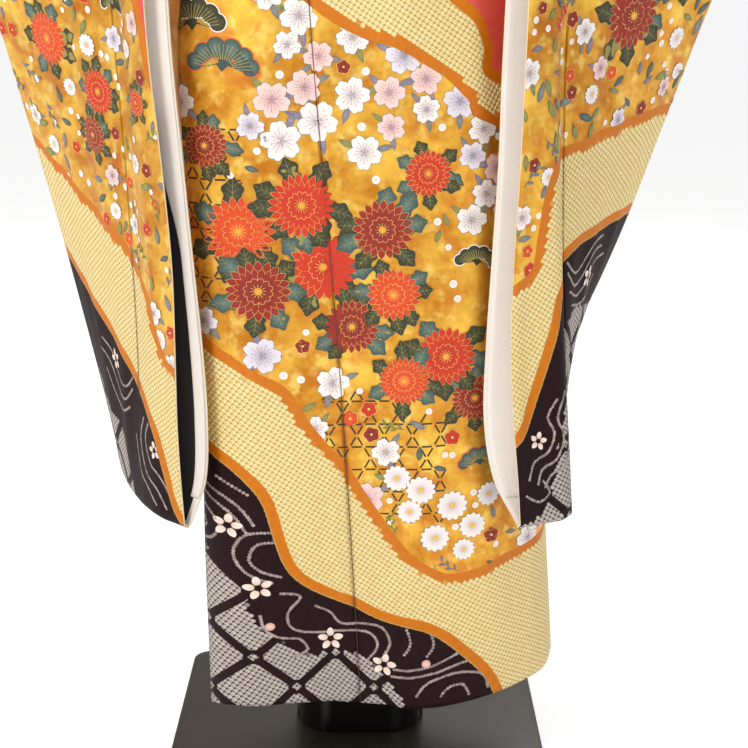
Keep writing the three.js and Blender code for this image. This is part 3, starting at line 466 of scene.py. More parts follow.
def make(name, V, faces, mats, index=None, uv=None, floats=None, colours=None):
    me = bpy.data.meshes.new(name)
    me.from_pydata((np.asarray(V) * MM).tolist(), [], [tuple(int(i) for i in f) for f in faces])
    for m in mats:
        me.materials.append(m)
    if index is not None:
        me.polygons.foreach_set("material_index", np.asarray(index, np.int32))
    loops = np.empty(len(me.loops), np.int32)
    me.loops.foreach_get("vertex_index", loops)
    if uv is not None:
        layer = me.uv_layers.new(name="cloth")
        layer.data.foreach_set("uv", (np.asarray(uv, np.float32)[loops] * MM).ravel())
    for key, values in (floats or {}).items():
        me.attributes.new(key, "FLOAT", "POINT").data.foreach_set("value", np.asarray(values, np.float32))
    if colours is not None:
        c = np.ones((len(V), 4), np.float32)
        c[:, :3] = colours
        me.color_attributes.new("dye", "FLOAT_COLOR", "POINT").data.foreach_set("color", c.ravel())
    me.polygons.foreach_set("use_smooth", np.ones(len(me.polygons), bool))
    me.update()
    me.validate()
    ob = bpy.data.objects.new(name, me)
    bpy.context.scene.collection.objects.link(ob)
    return ob


def thicken(V, faces, thick):
    """(vertices, faces, face kind) of a closed wall: kind 0 outside, 1 inside, 2 along its edges."""
    n = vertex_normals(V, faces)
    count = len(V)
    allv = np.concatenate([V + n * thick / 2, V - n * thick / 2])
    out, kind, seen = [], [], set()
    for f in faces:
        out.append(tuple(f))
        kind.append(0)
        out.append(tuple(i + count for i in reversed(f)))
        kind.append(1)
        for a, b in zip(f, list(f[1:]) + [f[0]]):
            seen.add((a, b))
    for a, b in sorted(seen):
        if (b, a) not in seen:
            out.append((a, a + count, b + count, b))
            kind.append(2)
    return allv, out, np.array(kind)


def grid_faces(rows, cols, ring=False):
    last = cols if ring else cols - 1
    return [(i * cols + j, i * cols + (j + 1) % cols, (i + 1) * cols + (j + 1) % cols, (i + 1) * cols + j)
            for i in range(rows - 1) for j in range(last)]


def fields(q, curves, up=None):
    """The signed distances that part the dyed fields, one float per point."""
    out = {}
    for name in "ABCDE":
        d, foot, n = curves[name].near(q)
        away = (np.asarray(q, float) - foot) * np.sign(d)[:, None]
        size = np.linalg.norm(away, axis=1, keepdims=True)
        way = np.where(size > 0.05, away / np.maximum(size, 0.05), n)
        if up is not None:
            d = np.where(up, 400.0, d)
        out["to_" + name] = d
        if name in "BCE":
            out["way_x_" + name], out["way_z_" + name] = way[:, 0], way[:, 1]
    return out


# ------------------------------------------------------------------ materials
def srgb(r, g, b):
    return tuple(((c / 255 + 0.055) / 1.055) ** 2.4 if c > 10 else c / 255 / 12.92 for c in (r, g, b))


class Paint:
    def __init__(self, name):
        self.m = bpy.data.materials.new(name)
        self.m.use_nodes = True
        self.t = self.m.node_tree
        self.bsdf = self.t.nodes["Principled BSDF"]

    def node(self, kind, **props):
        n = self.t.nodes.new("ShaderNode" + kind)
        for k, v in props.items():
            setattr(n, k, v)
        return n

    def put(self, socket, value):
        if hasattr(value, "links"):
            self.t.links.new(value, socket)
        else:
            socket.default_value = value

    def math(self, op, a, b=None, c=None, clamp=False):
        n = self.node("Math", operation=op, use_clamp=clamp)
        for s, v in zip(n.inputs, (a, b, c)):
            if v is not None:
                self.put(s, v)
        return n.outputs[0]

    def mix(self, fac, a, b):
        n = self.node("Mix", data_type="RGBA")
        self.put(n.inputs[0], fac)
        for s, v in ((n.inputs[6], a), (n.inputs[7], b)):
            if isinstance(v, tuple):
                v = (*v, 1)
            self.put(s, v)
        return n.outputs[2]

    def mixf(self, fac, a, b):
        n = self.node("Mix", data_type="FLOAT")
        for s, v in ((n.inputs[0], fac), (n.inputs[2], a), (n.inputs[3], b)):
            self.put(s, v)
        return n.outputs[0]

    def value(self, name):
        return self.node("Attribute", attribute_name=name).outputs["Fac"]

    def step(self, v, at, soft=0.35):
        """0 below, 1 above."""
        return self.math("MULTIPLY_ADD", v, 1 / (2 * soft), 0.5 - at / (2 * soft), clamp=True)

    def noise(self, where, scale, detail=2.0, rough=0.5):
        n = self.node("TexNoise")
        n.inputs["Scale"].default_value = scale
        n.inputs["Detail"].default_value = detail
        n.inputs["Roughness"].default_value = rough
        self.t.links.new(where, n.inputs["Vector"])
        return n.outputs["Fac"]

    def object_space(self):
        return self.node("TexCoord").outputs["Object"]

    def bump(self, height, distance, strength=1.0, after=None):
        n = self.node("Bump")
        n.inputs["Distance"].default_value = distance
        n.inputs["Strength"].default_value = strength
        self.t.links.new(height, n.inputs["Height"])
        if after is not None:
            self.t.links.new(after, n.inputs["Normal"])
        return n.outputs["Normal"]

    def set(self, **values):
        for k, v in values.items():
            s = self.bsdf.inputs[k.replace("_", " ")]
            if isinstance(v, tuple) and len(v) == 3:
                v = (*v, 1)
            self.put(s, v)
        return self.m


def weave(p, where, pitch=0.45):
    """Fine crepe threads: two crossing waves broken up by noise. Returns a height 0..1."""
    sep = p.node("SeparateXYZ")
    p.t.links.new(where, sep.inputs[0])
    k = 2 * math.pi / (pitch * MM)
    wob = p.math("MULTIPLY", p.noise(where, 900, 1), 5.0)
    a = p.math("SINE", p.math("ADD", p.math("MULTIPLY", sep.outputs[0], k), wob))
    b = p.math("SINE", p.math("ADD", p.math("MULTIPLY", sep.outputs[1], k), wob))
    return p.math("MULTIPLY_ADD", p.math("MULTIPLY", a, b), 0.5, 0.5)


# the second gold is a painted highlight colour, blended into the gold ground in blotches
GOLD_LOW, GOLD_PAINTED_HIGHLIGHT = srgb(198, 122, 14), srgb(250, 198, 74)
ORANGE = srgb(218, 126, 0)
CREAM, CREAM_GAP = srgb(255, 240, 180), srgb(208, 160, 62)
DARK = srgb(24, 9, 13)
GREY_DOT = srgb(206, 196, 190)
CORAL = srgb(238, 98, 82)
LINING = srgb(244, 238, 230)


def dots(p, uv, pitch_a=4.4, pitch_b=4.15, slope=33):
    """Tied dots in sloping rows: (x, z, dome 0..1, eye 0..1, one number per dot, offset from the dot's middle)."""
    sep = p.node("SeparateXYZ")
    p.t.links.new(uv, sep.inputs[0])
    x = p.math("MULTIPLY", sep.outputs[0], 1000.0)
    z = p.math("MULTIPLY", sep.outputs[1], 1000.0)
    co, si = math.cos(math.radians(slope)), math.sin(math.radians(slope))
    a = p.math("SUBTRACT", p.math("MULTIPLY", x, co / pitch_a), p.math("MULTIPLY", z, si / pitch_a))
    b = p.math("ADD", p.math("MULTIPLY", x, si / pitch_b), p.math("MULTIPLY", z, co / pitch_b))
    fa, fb = p.math("FRACT", a), p.math("FRACT", b)
    cell = p.node("CombineXYZ")
    p.t.links.new(p.math("FLOOR", a), cell.inputs[0])
    p.t.links.new(p.math("FLOOR", b), cell.inputs[1])
    rnd = p.node("TexWhiteNoise", noise_dimensions="2D")
    p.t.links.new(cell.outputs[0], rnd.inputs["Vector"])
    da, db = p.math("SUBTRACT", fa, 0.5), p.math("SUBTRACT", fb, 0.5)
    ca, cb = p.math("POWER", p.math("ABSOLUTE", da), 2.8), p.math("POWER", p.math("ABSOLUTE", db), 2.8)
    r = p.math("POWER", p.math("ADD", ca, cb), 1 / 2.8)
    dome = p.math("SUBTRACT", 1.0, p.math("DIVIDE", r, 0.5), clamp=True)
    ex = p.math("ADD", p.math("POWER", p.math("ADD", da, 0.10), 2.0), p.math("POWER", p.math("ADD", db, 0.14), 2.0))
    eye = p.math("SUBTRACT", 1.0, p.math("DIVIDE", p.math("SQRT", ex), 0.17), clamp=True)
    dx = p.math("ADD", p.math("MULTIPLY", da, pitch_a * co), p.math("MULTIPLY", db, pitch_b * si))
    dz = p.math("SUBTRACT", p.math("MULTIPLY", db, pitch_b * co), p.math("MULTIPLY", da, pitch_a * si))
    return x, z, dome, eye, rnd.outputs["Value"], dx, dz


def gold_silk():
    p = Paint("gold_silk")
    uv = p.node("UVMap", uv_map="cloth").outputs["UV"]
    here = p.object_space()
    x, z, dome, eye, rnd, dx, dz = dots(p, uv)
    A, B, C, D, E = (p.value("to_" + n) for n in "ABCDE")
    jag = p.math("MULTIPLY_ADD", rnd, 2.0, -1.0)

    def at_dot(name, v):
        """The distance at the middle of the dot, the same all over it."""
        off = p.math("ADD", p.math("MULTIPLY", dx, p.value("way_x_" + name)), p.math("MULTIPLY", dz, p.value("way_z_" + name)))
        return p.math("ADD", p.math("SUBTRACT", v, off), jag)

    Bd, Cd, Ed = at_dot("B", B), at_dot("C", C), at_dot("E", E)
    small = p.math("MULTIPLY_ADD", p.noise(here, 420, 2), 1.6, -0.8)
    # which field each point lies in
    tied_up = p.step(Bd, 5.2)
    tied_down = p.math("SUBTRACT", 1.0, p.step(Cd, -5.2))
    coral = p.step(p.math("ADD", A, small), 4.4)
    dark = p.math("SUBTRACT", 1.0, p.step(p.math("ADD", D, small), -4.6))
    tied = p.math("MAXIMUM", tied_up, tied_down)
    tied = p.math("MULTIPLY", tied, p.math("SUBTRACT", 1.0, p.math("MAXIMUM", coral, dark)))
    # lozenge lattice of grey dots low on the dark field
    xs, zs = p.math("ADD", x, 19.3), p.math("SUBTRACT", z, 20.5)
    la = p.math("ADD", p.math("DIVIDE", xs, 75.0), p.math("DIVIDE", zs, 73.0))
    lb = p.math("SUBTRACT", p.math("DIVIDE", xs, 75.0), p.math("DIVIDE", zs, 73.0))
    ga = p.math("ABSOLUTE", p.math("SUBTRACT", p.math("FRACT", la), 0.5))
    gb = p.math("ABSOLUTE", p.math("SUBTRACT", p.math("FRACT", lb), 0.5))
    inside = p.math("MINIMUM", p.math("SUBTRACT", 1.0, p.step(ga, 0.425, 0.004)), p.math("SUBTRACT", 1.0, p.step(gb, 0.425, 0.004)))
    cross = p.math("MINIMUM", p.step(ga, 0.438, 0.004), p.step(gb, 0.438, 0.004))
    inside = p.math("MINIMUM", inside, p.step(p.math("SUBTRACT", p.math("SUBTRACT", 1.0, ga), gb), 0.215, 0.004))
    lattice = p.math("MAXIMUM", inside, cross)
    low = p.math("SUBTRACT", 1.0, p.step(Ed, 0.0))
    lattice = p.math("MULTIPLY", p.math("MULTIPLY", lattice, low), dark)
    # colours; the gold ground gets blotches of painted highlight and smaller pale-yellow painted glints, while its
    # orange-brown patches are dye
    highlight_cloud = p.noise(here, 26, 4, 0.62)
    gold = p.mix(p.step(highlight_cloud, 0.50, 0.16), GOLD_LOW, GOLD_PAINTED_HIGHLIGHT)
    gold = p.mix(p.math("MULTIPLY", p.step(p.noise(here, 70, 3), 0.60, 0.07), 0.55), gold, srgb(255, 226, 122))
    gold = p.mix(p.math("MULTIPLY", p.step(p.noise(here, 44, 3), 0.60, 0.06), 0.5), gold, srgb(206, 104, 20))
    ring = p.step(dome, 0.10, 0.10)
    shade = p.math("MULTIPLY_ADD", rnd, 0.22, 0.0)
    cream = p.mix(shade, CREAM, srgb(232, 196, 104))
    yellow = p.mix(ring, CREAM_GAP, cream)
    yellow = p.mix(p.math("MULTIPLY", eye, 0.85), yellow, srgb(120, 84, 44))
    grey = p.mix(ring, srgb(60, 38, 40), p.mix(shade, GREY_DOT, srgb(150, 138, 134)))
    grey = p.mix(p.math("MULTIPLY", eye, 0.9), grey, DARK)
    coral_c = p.mix(p.noise(here, 60, 3), CORAL, srgb(214, 70, 58))
    dark_c = p.mix(p.noise(here, 130, 3), DARK, srgb(44, 21, 24))
    c = p.mix(tied, gold, yellow)
    c = p.mix(coral, c, coral_c)
    c = p.mix(dark, c, dark_c)
    c = p.mix(lattice, c, grey)
    # orange borders between the fields, toothed along the tied side
    band = None
    smooth_a, smooth_b, smooth_c, smooth_d = (p.math("ADD", v, small) for v in (A, B, C, D))
    for over, under, top, foot in ((smooth_a, smooth_a, 4.6, -4.6), (smooth_b, Bd, 5.2, -4.6), (Cd, smooth_c, 4.6, -5.2), (smooth_d, smooth_d, 4.6, -4.6)):
        line = p.math("MULTIPLY", p.step(over, foot), p.math("SUBTRACT", 1.0, p.step(under, top)))
        band = line if band is None else p.math("MAXIMUM", band, line)
    orange = p.mix(p.noise(here, 200, 3), ORANGE, srgb(196, 104, 0))
    c = p.mix(band, c, orange)
    pale = p.math("MULTIPLY", p.step(smooth_d, -5.6, 0.2), p.math("SUBTRACT", 1.0, p.step(smooth_d, -4.7, 0.2)))
    c = p.mix(p.math("MULTIPLY", pale, 0.7), c, srgb(232, 190, 110))
    dotted = p.math("MULTIPLY", p.math("MAXIMUM", tied, lattice), p.math("SUBTRACT", 1.0, band))
    plain = p.math("SUBTRACT", 1.0, p.math("MAXIMUM", p.math("MAXIMUM", tied, dark), p.math("MAXIMUM", coral, band)), clamp=True)
    h = p.math("MULTIPLY", p.math("POWER", dome, 0.6), dotted)
    n1 = p.bump(h, 0.0013, 0.9)
    n2 = p.bump(weave(p, uv), 0.00006, 0.6, n1)
    rough = p.mixf(plain, 0.62, 0.37)
    metal = p.mixf(plain, 0.0, 0.5)
    spec = p.mixf(dark, p.mixf(tied, 0.42, 0.28), 0.12)
    return p.set(Base_Color=c, Roughness=rough, Metallic=metal, Normal=n2, Specular_IOR_Level=spec, Sheen_Weight=p.mixf(dark, 0.03, 0.0), Sheen_Roughness=0.4)


def dyed_silk():
    """Hand-dyed motifs: the colour is stored on the mesh."""
    p = Paint("dyed_motifs")
    col = p.node("Attribute", attribute_name="dye").outputs["Color"]
    here = p.object_space()
    c = p.mix(p.math("MULTIPLY", p.noise(here, 380, 3), 0.07), col, srgb(255, 230, 190))
    n = p.bump(weave(p, here), 0.00006, 0.5)
    return p.set(Base_Color=c, Roughness=p.mixf(p.noise(here, 160, 2), 0.44, 0.60), Normal=n, Specular_IOR_Level=0.28, Sheen_Weight=0.02, Sheen_Roughness=0.4)


def simple_silk(name, colour, other, rough=0.55, scale=40, pitch=0.6, depth=0.00008, sheen=0.2):
    p = Paint(name)
    here = p.object_space()
    c = p.mix(p.math("MULTIPLY", p.noise(here, scale, 3), 0.8), colour, other)
    n = p.bump(weave(p, here, pitch), depth, 0.7)
    return p.set(Base_Color=c, Roughness=p.mixf(p.noise(here, 90, 2), rough - 0.06, rough + 0.08), Normal=n, Sheen_Weight=sheen, Sheen_Roughness=0.5)


def obi_brocade():
    p = Paint("obi_silk")
    here = p.object_space()
    sep = p.node("SeparateXYZ")
    p.t.links.new(here, sep.inputs[0])
    k = math.pi / 0.022
    ang = p.math("ARCTAN2", sep.outputs[0], sep.outputs[1])
    a = p.math("SINE", p.math("MULTIPLY", ang, 20.0))
    b = p.math("SINE", p.math("MULTIPLY", sep.outputs[2], k))
    fig = p.step(p.math("ABSOLUTE", p.math("ADD", a, b)), 0.55, 0.10)
    c = p.mix(fig, srgb(206, 176, 104), srgb(232, 214, 168))
    c = p.mix(p.math("MULTIPLY", p.noise(here, 50, 3), 0.3), c, srgb(190, 152, 76))
    n = p.bump(fig, 0.0002, 0.6)
    n = p.bump(weave(p, here, 0.7), 0.00012, 0.8, n)
    return p.set(Base_Color=c, Roughness=p.mixf(fig, 0.36, 0.55), Metallic=p.mixf(fig, 0.35, 0.05), Normal=n, Sheen_Weight=0.15, Sheen_Roughness=0.5)


def form_cover():
    p = Paint("form_shell")
    here = p.object_space()
    c = p.mix(p.math("MULTIPLY", p.noise(here, 24, 3), 0.6), srgb(236, 230, 218), srgb(222, 214, 198))
    n = p.bump(weave(p, here, 1.1), 0.00015, 0.6)
    return p.set(Base_Color=c, Roughness=p.mixf(p.noise(here, 60, 2), 0.55, 0.72), Normal=n)


def column_gloss():
    p = Paint("column_gloss")
    here = p.object_space()
    c = p.mix(p.noise(here, 9, 4), srgb(10, 8, 8), srgb(20, 16, 15))
    n = p.bump(p.noise(here, 1200, 2), 0.00002, 0.4)
    return p.set(Base_Color=c, Roughness=p.mixf(p.noise(here, 30, 4), 0.10, 0.22), Normal=n, Coat_Weight=0.4, Coat_Roughness=0.06)


def chrome_trim():
    p = Paint("column_trim")
    here = p.object_space()
    return p.set(Base_Color=p.mix(p.noise(here, 60, 2), srgb(170, 160, 146), srgb(206, 198, 186)), Roughness=p.mixf(p.noise(here, 200, 3), 0.16, 0.30), Metallic=1.0)


def plate_paint():
    p = Paint("plate_paint")
    here = p.object_space()
    c = p.mix(p.noise(here, 14, 4, 0.6), srgb(66, 56, 45), srgb(76, 66, 53))
    n = p.bump(p.noise(here, 700, 3), 0.00005, 0.5)
    return p.set(Base_Color=c, Roughness=p.mixf(p.noise(here, 22, 4), 0.26, 0.40), Metallic=0.25, Normal=n, Coat_Weight=0.25, Coat_Roughness=0.2)


GOLD = gold_silk()
DYE = dyed_silk()
PALE = simple_silk("lining_silk", LINING, srgb(232, 222, 214), 0.5, 30, 0.5, 0.00005, 0.1)
PIPING = simple_silk("piping_silk", srgb(250, 240, 214), srgb(236, 206, 130), 0.5, 60)
# near-black painted shade for the deep inside of one sleeve, where the pale lining lies in shadow
SLEEVE_INSIDE_SHADE = simple_silk("sleeve_inside_painted_shade", srgb(24, 14, 14), srgb(34, 20, 20), 0.7, 40)
CORAL_SILK = simple_silk("collar_silk", CORAL, srgb(208, 66, 56), 0.52, 50)
OBI_SILK = obi_brocade()
SHELL, GLOSS, TRIM, PLATE_PAINT = form_cover(), column_gloss(), chrome_trim(), plate_paint()

# ------------------------------------------------------------------ body panels
LEVELS_LOW = level_of(np.unique(np.concatenate([np.linspace(HEM_Z, 880, 130), np.linspace(880, 896, 7), np.linspace(896, BODICE_Z, 32)])))
LEVELS_HIGH = np.concatenate([np.linspace(1, 1.97, 41)[1:], [1.98, 1.988, 1.994, 1.9972]])
KEEP = {}


def panel_grid(kind, levels, frm, to, cols, back=False):
    rows_p, lo, hi = [], frm(levels), to(levels)
    t = np.linspace(0, 1, 91)
    for l, a, b in zip(levels, lo, hi):
        p = mix(a, b, t)
        pts = surface(l, p)
        arc = np.concatenate([[0], np.cumsum(np.linalg.norm(np.diff(pts, axis=0), axis=1))])
        end = max(arc[-1] - SEAM / 2, SEAM / 2 + 6)
        rows_p.append(np.interp(np.linspace(SEAM / 2, end, cols), arc, p))
    P = np.array(rows_p)
    L = np.repeat(levels[:, None], cols, 1)
    return L, P


def cloth_panel(name, kind, levels, frm, to, cols):
    L, P = panel_grid(kind, levels, frm, to, cols)
    # front and back stop a little lower at the shoulder's tip, where they lean together sooner, and beside the collar
    q_abs = np.abs(np.where(P > 1, 2 - P, P))
    tip = np.maximum(smooth(0.58, 0.70, q_abs), 1 - smooth(0.28, 0.38, q_abs))
    L = np.where(L > 1.985, 1.985 + (L - 1.985) * (1 - 0.9 * tip), L)
    G = skin(kind, L, P)
    rows = len(levels)
    zz = z_of(np.minimum(L, 1))
    u = np.where(L <= 1, u_of(P, zz), 0)
    u = np.where(L > 1, G[..., 0] if kind != "back" else 500 - G[..., 0], u)
    v = np.where(L <= 1, zz, G[..., 2])
    V, faces, kinds = thicken(G.reshape(-1, 3), grid_faces(rows, cols), WALL)
    q = np.stack([u.ravel(), v.ravel()], 1)
    shift = 0
    if kind == "inner":  # seen with the back's curves on the wearer's right side
        shift = u_of(3, zz) - u_of(-1, zz)
        q = np.stack([(u + np.where(L <= 1, shift, 0)).ravel(), v.ravel()], 1)
    f = fields(q, BODY_CURVES, (L > 1).ravel())
    f = {k: np.concatenate([a, a]) for k, a in f.items()}
    ob = make(name, V, faces, [GOLD, PALE, PIPING], kinds, np.concatenate([q, q]), f)
    return ob


def front_left_from(l):
    l = np.asarray(l, float)
    return np.where(l <= 1 + KENSAKI, outer_seam(l), neckline(l) + 0.03 * (1 - smooth(KENSAKI, 1, l - 1)))


def front_right_to(l):
    l = np.asarray(l, float)
    return np.where(l <= 1 + KENSAKI, inner_seam(l), -neckline(l) - 0.03 * (1 - smooth(KENSAKI, 1, l - 1)) - 0.012 * smooth(0.80, 0.96, l - 1))


ALL = np.concatenate([LEVELS_LOW, LEVELS_HIGH])
OKUMI = np.concatenate([LEVELS_LOW, np.linspace(1, 1 + KENSAKI - 0.01, 20)[1:]])
KEEP["okumi_left"] = cloth_panel("okumi_left_silk", "outer", OKUMI, outer_free, outer_seam, 28)
KEEP["front_left"] = cloth_panel("front_left_silk", "outer", ALL, front_left_from, side_left, 44)
KEEP["okumi_right"] = cloth_panel("okumi_right_silk", "inner", OKUMI, inner_seam, inner_free, 16)
KEEP["front_right"] = cloth_panel("front_right_silk", "inner", ALL, lambda l: np.full(len(l), -1.0), front_right_to, 44)
KEEP["back_left"] = cloth_panel("back_left_silk", "back", ALL, lambda l: np.where(l <= 1, side_left(l), 1.0002), lambda l: np.full(len(l), 1.999), 40)
KEEP["back_right"] = cloth_panel("back_right_silk", "back", ALL, lambda l: np.full(len(l), 2.001), lambda l: np.where(l <= 1, 3.0, 2.9998), 40)


# ------------------------------------------------------------------ collar
def refine(G, rows, cols):
    """A smooth, finer copy of a coarse grid of points."""
    def along(A, n):
        m = len(A)
        t = np.linspace(0, m - 1, n)
        i = np.clip(t.astype(int), 0, m - 2)
        f = (t - i).reshape((-1,) + (1,) * (A.ndim - 1))
        a, b = A[i], A[i + 1]
        ma = (A[i + 1] - A[np.maximum(i - 1, 0)]) / np.where(i == 0, 1, 2).reshape(f.shape)
        mb = (A[np.minimum(i + 2, m - 1)] - A[i]) / np.where(i + 2 > m - 1, 1, 2).reshape(f.shape)
        return (2 * f ** 3 - 3 * f ** 2 + 1) * a + (f ** 3 - 2 * f ** 2 + f) * ma + (-2 * f ** 3 + 3 * f ** 2) * b + (f ** 3 - f ** 2) * mb
    G = along(G, rows)
    return np.swapaxes(along(np.swapaxes(G, 0, 1), cols), 0, 1)


def collar_grid():
    legs = [float(level_of(z)) for z in (COLLAR["end"], 1022, 1034, 1048, 1062, 1076, 1090, 1102)] + list(np.linspace(1, 1.985, 34))

    def leg(level, side):
        e = float(edge("freeOuter" if side > 0 else "freeInner", level)) if level <= 1 else side * float(neckline(level))
        stand = float(smooth(0.70, 1, level - 1))
        lift = LAP + 0.9 if side > 0 else 0.1
        width = COLLAR["width"] * (1 - 0.25 * stand)
        d = -1 if side > 0 else 1
        base = surface(level, e) + normal(level, e) * lift
        base[0] += d * (SEAM + 0.5)
        tip = surface(level, e) + np.array([d * 15, -5 + 4 * stand, 36])
        row, p, reach = [base], e, 0.0
        for part in (1 / 3, 2 / 3, 1):
            while reach < width * part and abs(p) < 0.99:
                q = p + d * 0.004
                reach += float(np.linalg.norm(surface(level, q) - surface(level, p)))
                p = q
            up = level if level <= 1 or side < 0 else min(1.99, level + 0.05 * part * float(smooth(0.15, 0.4, level - 1)))
            flat = surface(up, p) + normal(up, p) * lift
            row.append(mix(flat, mix(base, tip, part), stand))
        return row

    st = [leg(l, 1) for l in legs]
    a = [(66, 34, 1422, 56, 30, 1462), (44, 56, 1412, 40, 58, 1450), (0, 68, 1407, 0, 76, 1442)]
    ring = a + [(-44, 56, 1412, -40, 58, 1450), (-66, 34, 1422, -56, 30, 1462)]
    for x, y, z, tx, ty, tz in ring:
        b, t = np.array([x, y, z + 3.0]), np.array([tx, ty, tz], float)
        st.append([mix(b, t, k) + np.array([x * 0.02, 1.2, 0]) * 4 * k * (1 - k) for k in (0, 1 / 3, 2 / 3, 1)])
    st += [leg(l, -1) for l in reversed(legs)]
    return np.array(st)


CG = refine(collar_grid()[:, ::-1], 300, 13)
V, F_, K_ = thicken(CG.reshape(-1, 3), grid_faces(*CG.shape[:2]), COLLAR["wall"])
KEEP["collar"] = make("collar_silk_band", V, F_, [CORAL_SILK])


# ------------------------------------------------------------------ sleeves
def plan_row(r, flat=False):
    """Finely spaced plan points of one row: open edge, crest, valley, outer fold."""
    f, c, v, m, o = (np.array([r[a], r[b]], float) for a, b in (("fx", "fy"), ("cx", "cy"), ("vx", "vy"), ("mx", "my"), ("ox", "oy")))

    def toward(a, b, d):
        n = np.linalg.norm(b - a)
        return a + (b - a) / max(n, 1e-9) * min(d, n * 0.46)

    def bez(a, k, b, n, first=0.0):
        t = np.linspace(first, 1, n + 1)[1:, None]
        return (1 - t) ** 2 * a + 2 * t * (1 - t) * k + t * t * b

    p1, q1 = toward(c, f, 11), toward(c, v, 11)
    p2, q2 = toward(v, c, 11), toward(v, m, 11)
    parts = [f[None], mix(f, p1, np.linspace(0, 1, 9)[1:, None]), bez(p1, c, q1, 6), mix(q1, p2, np.linspace(0, 1, 4)[1:, None]), bez(p2, v, q2, 6)]
    t = np.linspace(0, 1, 29)[1:, None]
    far = (1 - t) ** 2 * v + 2 * t * (1 - t) * m + t * t * o
    t0 = np.clip((t - 0.0) / 0.12, 0, 1)
    far = far + (q2 - v) * (1 - t0) * 0.6
    parts.append(far)
    return np.concatenate(parts)


def sleeve_rows(tab, side):
    rows = []
    for i in range(len(tab["z"])):
        rows.append({k: tab[k][i] for k in tab})
    for t, oz, ox, mid, inner in SLEEVE_TOP:
        f, b = bodice(side, t, False), bodice(side, t, True)
        F = np.array([abs(f[0]) + SEAM + 1.6, f[1], f[2]])
        B = np.array([abs(b[0]) + SEAM + 1.6, b[1], b[2]])
        M = (F + B) / 2

        def p(k):
            return mix(M[0], ox, k), mix(M[1], 4, k) - mid * math.sin(math.pi * k)
        (cx, cy), (vx, vy), (mx, my) = p(0.12), p(0.2), p(0.56)
        rows.append(dict(z=M[2], outerZ=oz, fx=M[0], fy=M[1], mouth=np.linalg.norm(F - B), inset=0, gap=inner * 0.6 + 5,
                         cx=cx, cy=cy, vx=vx, vy=vy, mx=mx, my=my, ox=ox, oy=4, edgeF=F, edgeB=B))
    return rows


def sleeve_fold(s, w, side, length):
    """Soft hanging folds of the outer stretch, in mm outward."""
    k = s / length
    f = 1.8 * bump(s, 112 + 6 * np.sin(w * 0.008), 12) + 2.2 * bump(s, 158 + 12 * np.sin(w * 0.006 + side), 15) + 1.6 * bump(s, 206 + (w - 600) * 0.06, 13)
    f = f + 1.0 * bump(s, 26 + 3 * np.sin(w * 0.013 + side), 8) - 0.8 * bump(s, 136, 9) + 0.5 * np.sin(s * 0.06 + w * 0.012)
    return f * smooth(0.03, 0.12, k) * (1 - smooth(0.84, 0.97, k)) * smooth(318, 372, w) * (1 - smooth(960, 1080, w) * 0.8)


def sleeve_grid(tab, side):
    ctrl = sleeve_rows(tab, side)
    zc = np.array([r["z"] for r in ctrl])
    Fc, Bc, Ec, OZ = [], [], [], []
    for r in ctrl:
        pts = plan_row(r)
        n = len(pts)
        arc = np.concatenate([[0], np.cumsum(np.linalg.norm(np.diff(pts, axis=0), axis=1))])
        k = arc / arc[-1]
        d = np.gradient(pts, axis=0)
        d /= np.maximum(np.linalg.norm(d, axis=1, keepdims=True), 1e-9)
        # the sideways direction at each point of the row
        out = np.stack([d[:, 1], -d[:, 0]], 1)
        z = mix(r["z"], r["outerZ"], k)
        opening = mix(r["mouth"], r.get("gap", 9), smooth(0, 0.16, k)) / 2
        reach = r["inset"] / 2 * (1 - smooth(0, 0.12, k))
        F = pts + out * opening[:, None] + d * reach[:, None]
        B = pts - out * opening[:, None] - d * reach[:, None]
        F3, B3 = np.column_stack([F, z]), np.column_stack([B, z])
        if "edgeF" in r:
            F3[0], B3[0] = r["edgeF"], r["edgeB"]
            blend = (1 - smooth(0, 0.10, k))[:, None]
            F3[1:] = mix(F3, F3[0] + (F3[1:2] - F3[0]) * 0 + np.column_stack([pts - pts[0], z - z[0]]), blend * 0.55)[1:]
            B3[1:] = mix(B3, B3[0] + np.column_stack([pts - pts[0], z - z[0]]), blend * 0.55)[1:]
        Fc.append(F3)
        Bc.append(B3)
        Ec.append(np.array([*(pts[-1] + d[-1] * 5), r["outerZ"]]))
    Fc, Bc, Ec = np.array(Fc), np.array(Bc), np.array(Ec)
    w = np.unique(np.concatenate([np.linspace(zc[0], 360, 9), np.linspace(360, 1090, 106), np.linspace(1090, zc[-1], 30)]))

    def fine(A):
        flat = A.reshape(len(zc), -1)
        return np.stack([column({"z": zc, "v": flat[:, c]}, "v", w) for c in range(flat.shape[1])], 1).reshape((len(w),) + A.shape[1:])
    F, B, E = fine(Fc), fine(Bc), fine(Ec)
    S = np.concatenate([np.zeros((len(w), 1)), np.cumsum(np.linalg.norm(np.diff(F[..., :2], axis=1), axis=2), axis=1)], axis=1)
    length = S[:, -1:]
    fold = sleeve_fold(S, w[:, None], side, length)
    nf, nb = grid_normals(F), -grid_normals(B)
    F = F + nf * fold[..., None]
    B = B + nb * (fold[..., None] * 0.5 - 0.0)
    clear = (2.4 * bump(w, 1198, 34))[:, None] * (1 - smooth(0, 70, S))
    F[..., 0] += clear
    B[..., 0] += clear
    has_end = np.interp(w, zc, [r["outerZ"] for r in ctrl]) < SLEEVE_TOP[0][1] - 10
    return dict(w=w, S=S, F=F, B=B, E=E, has_end=has_end, side=side)


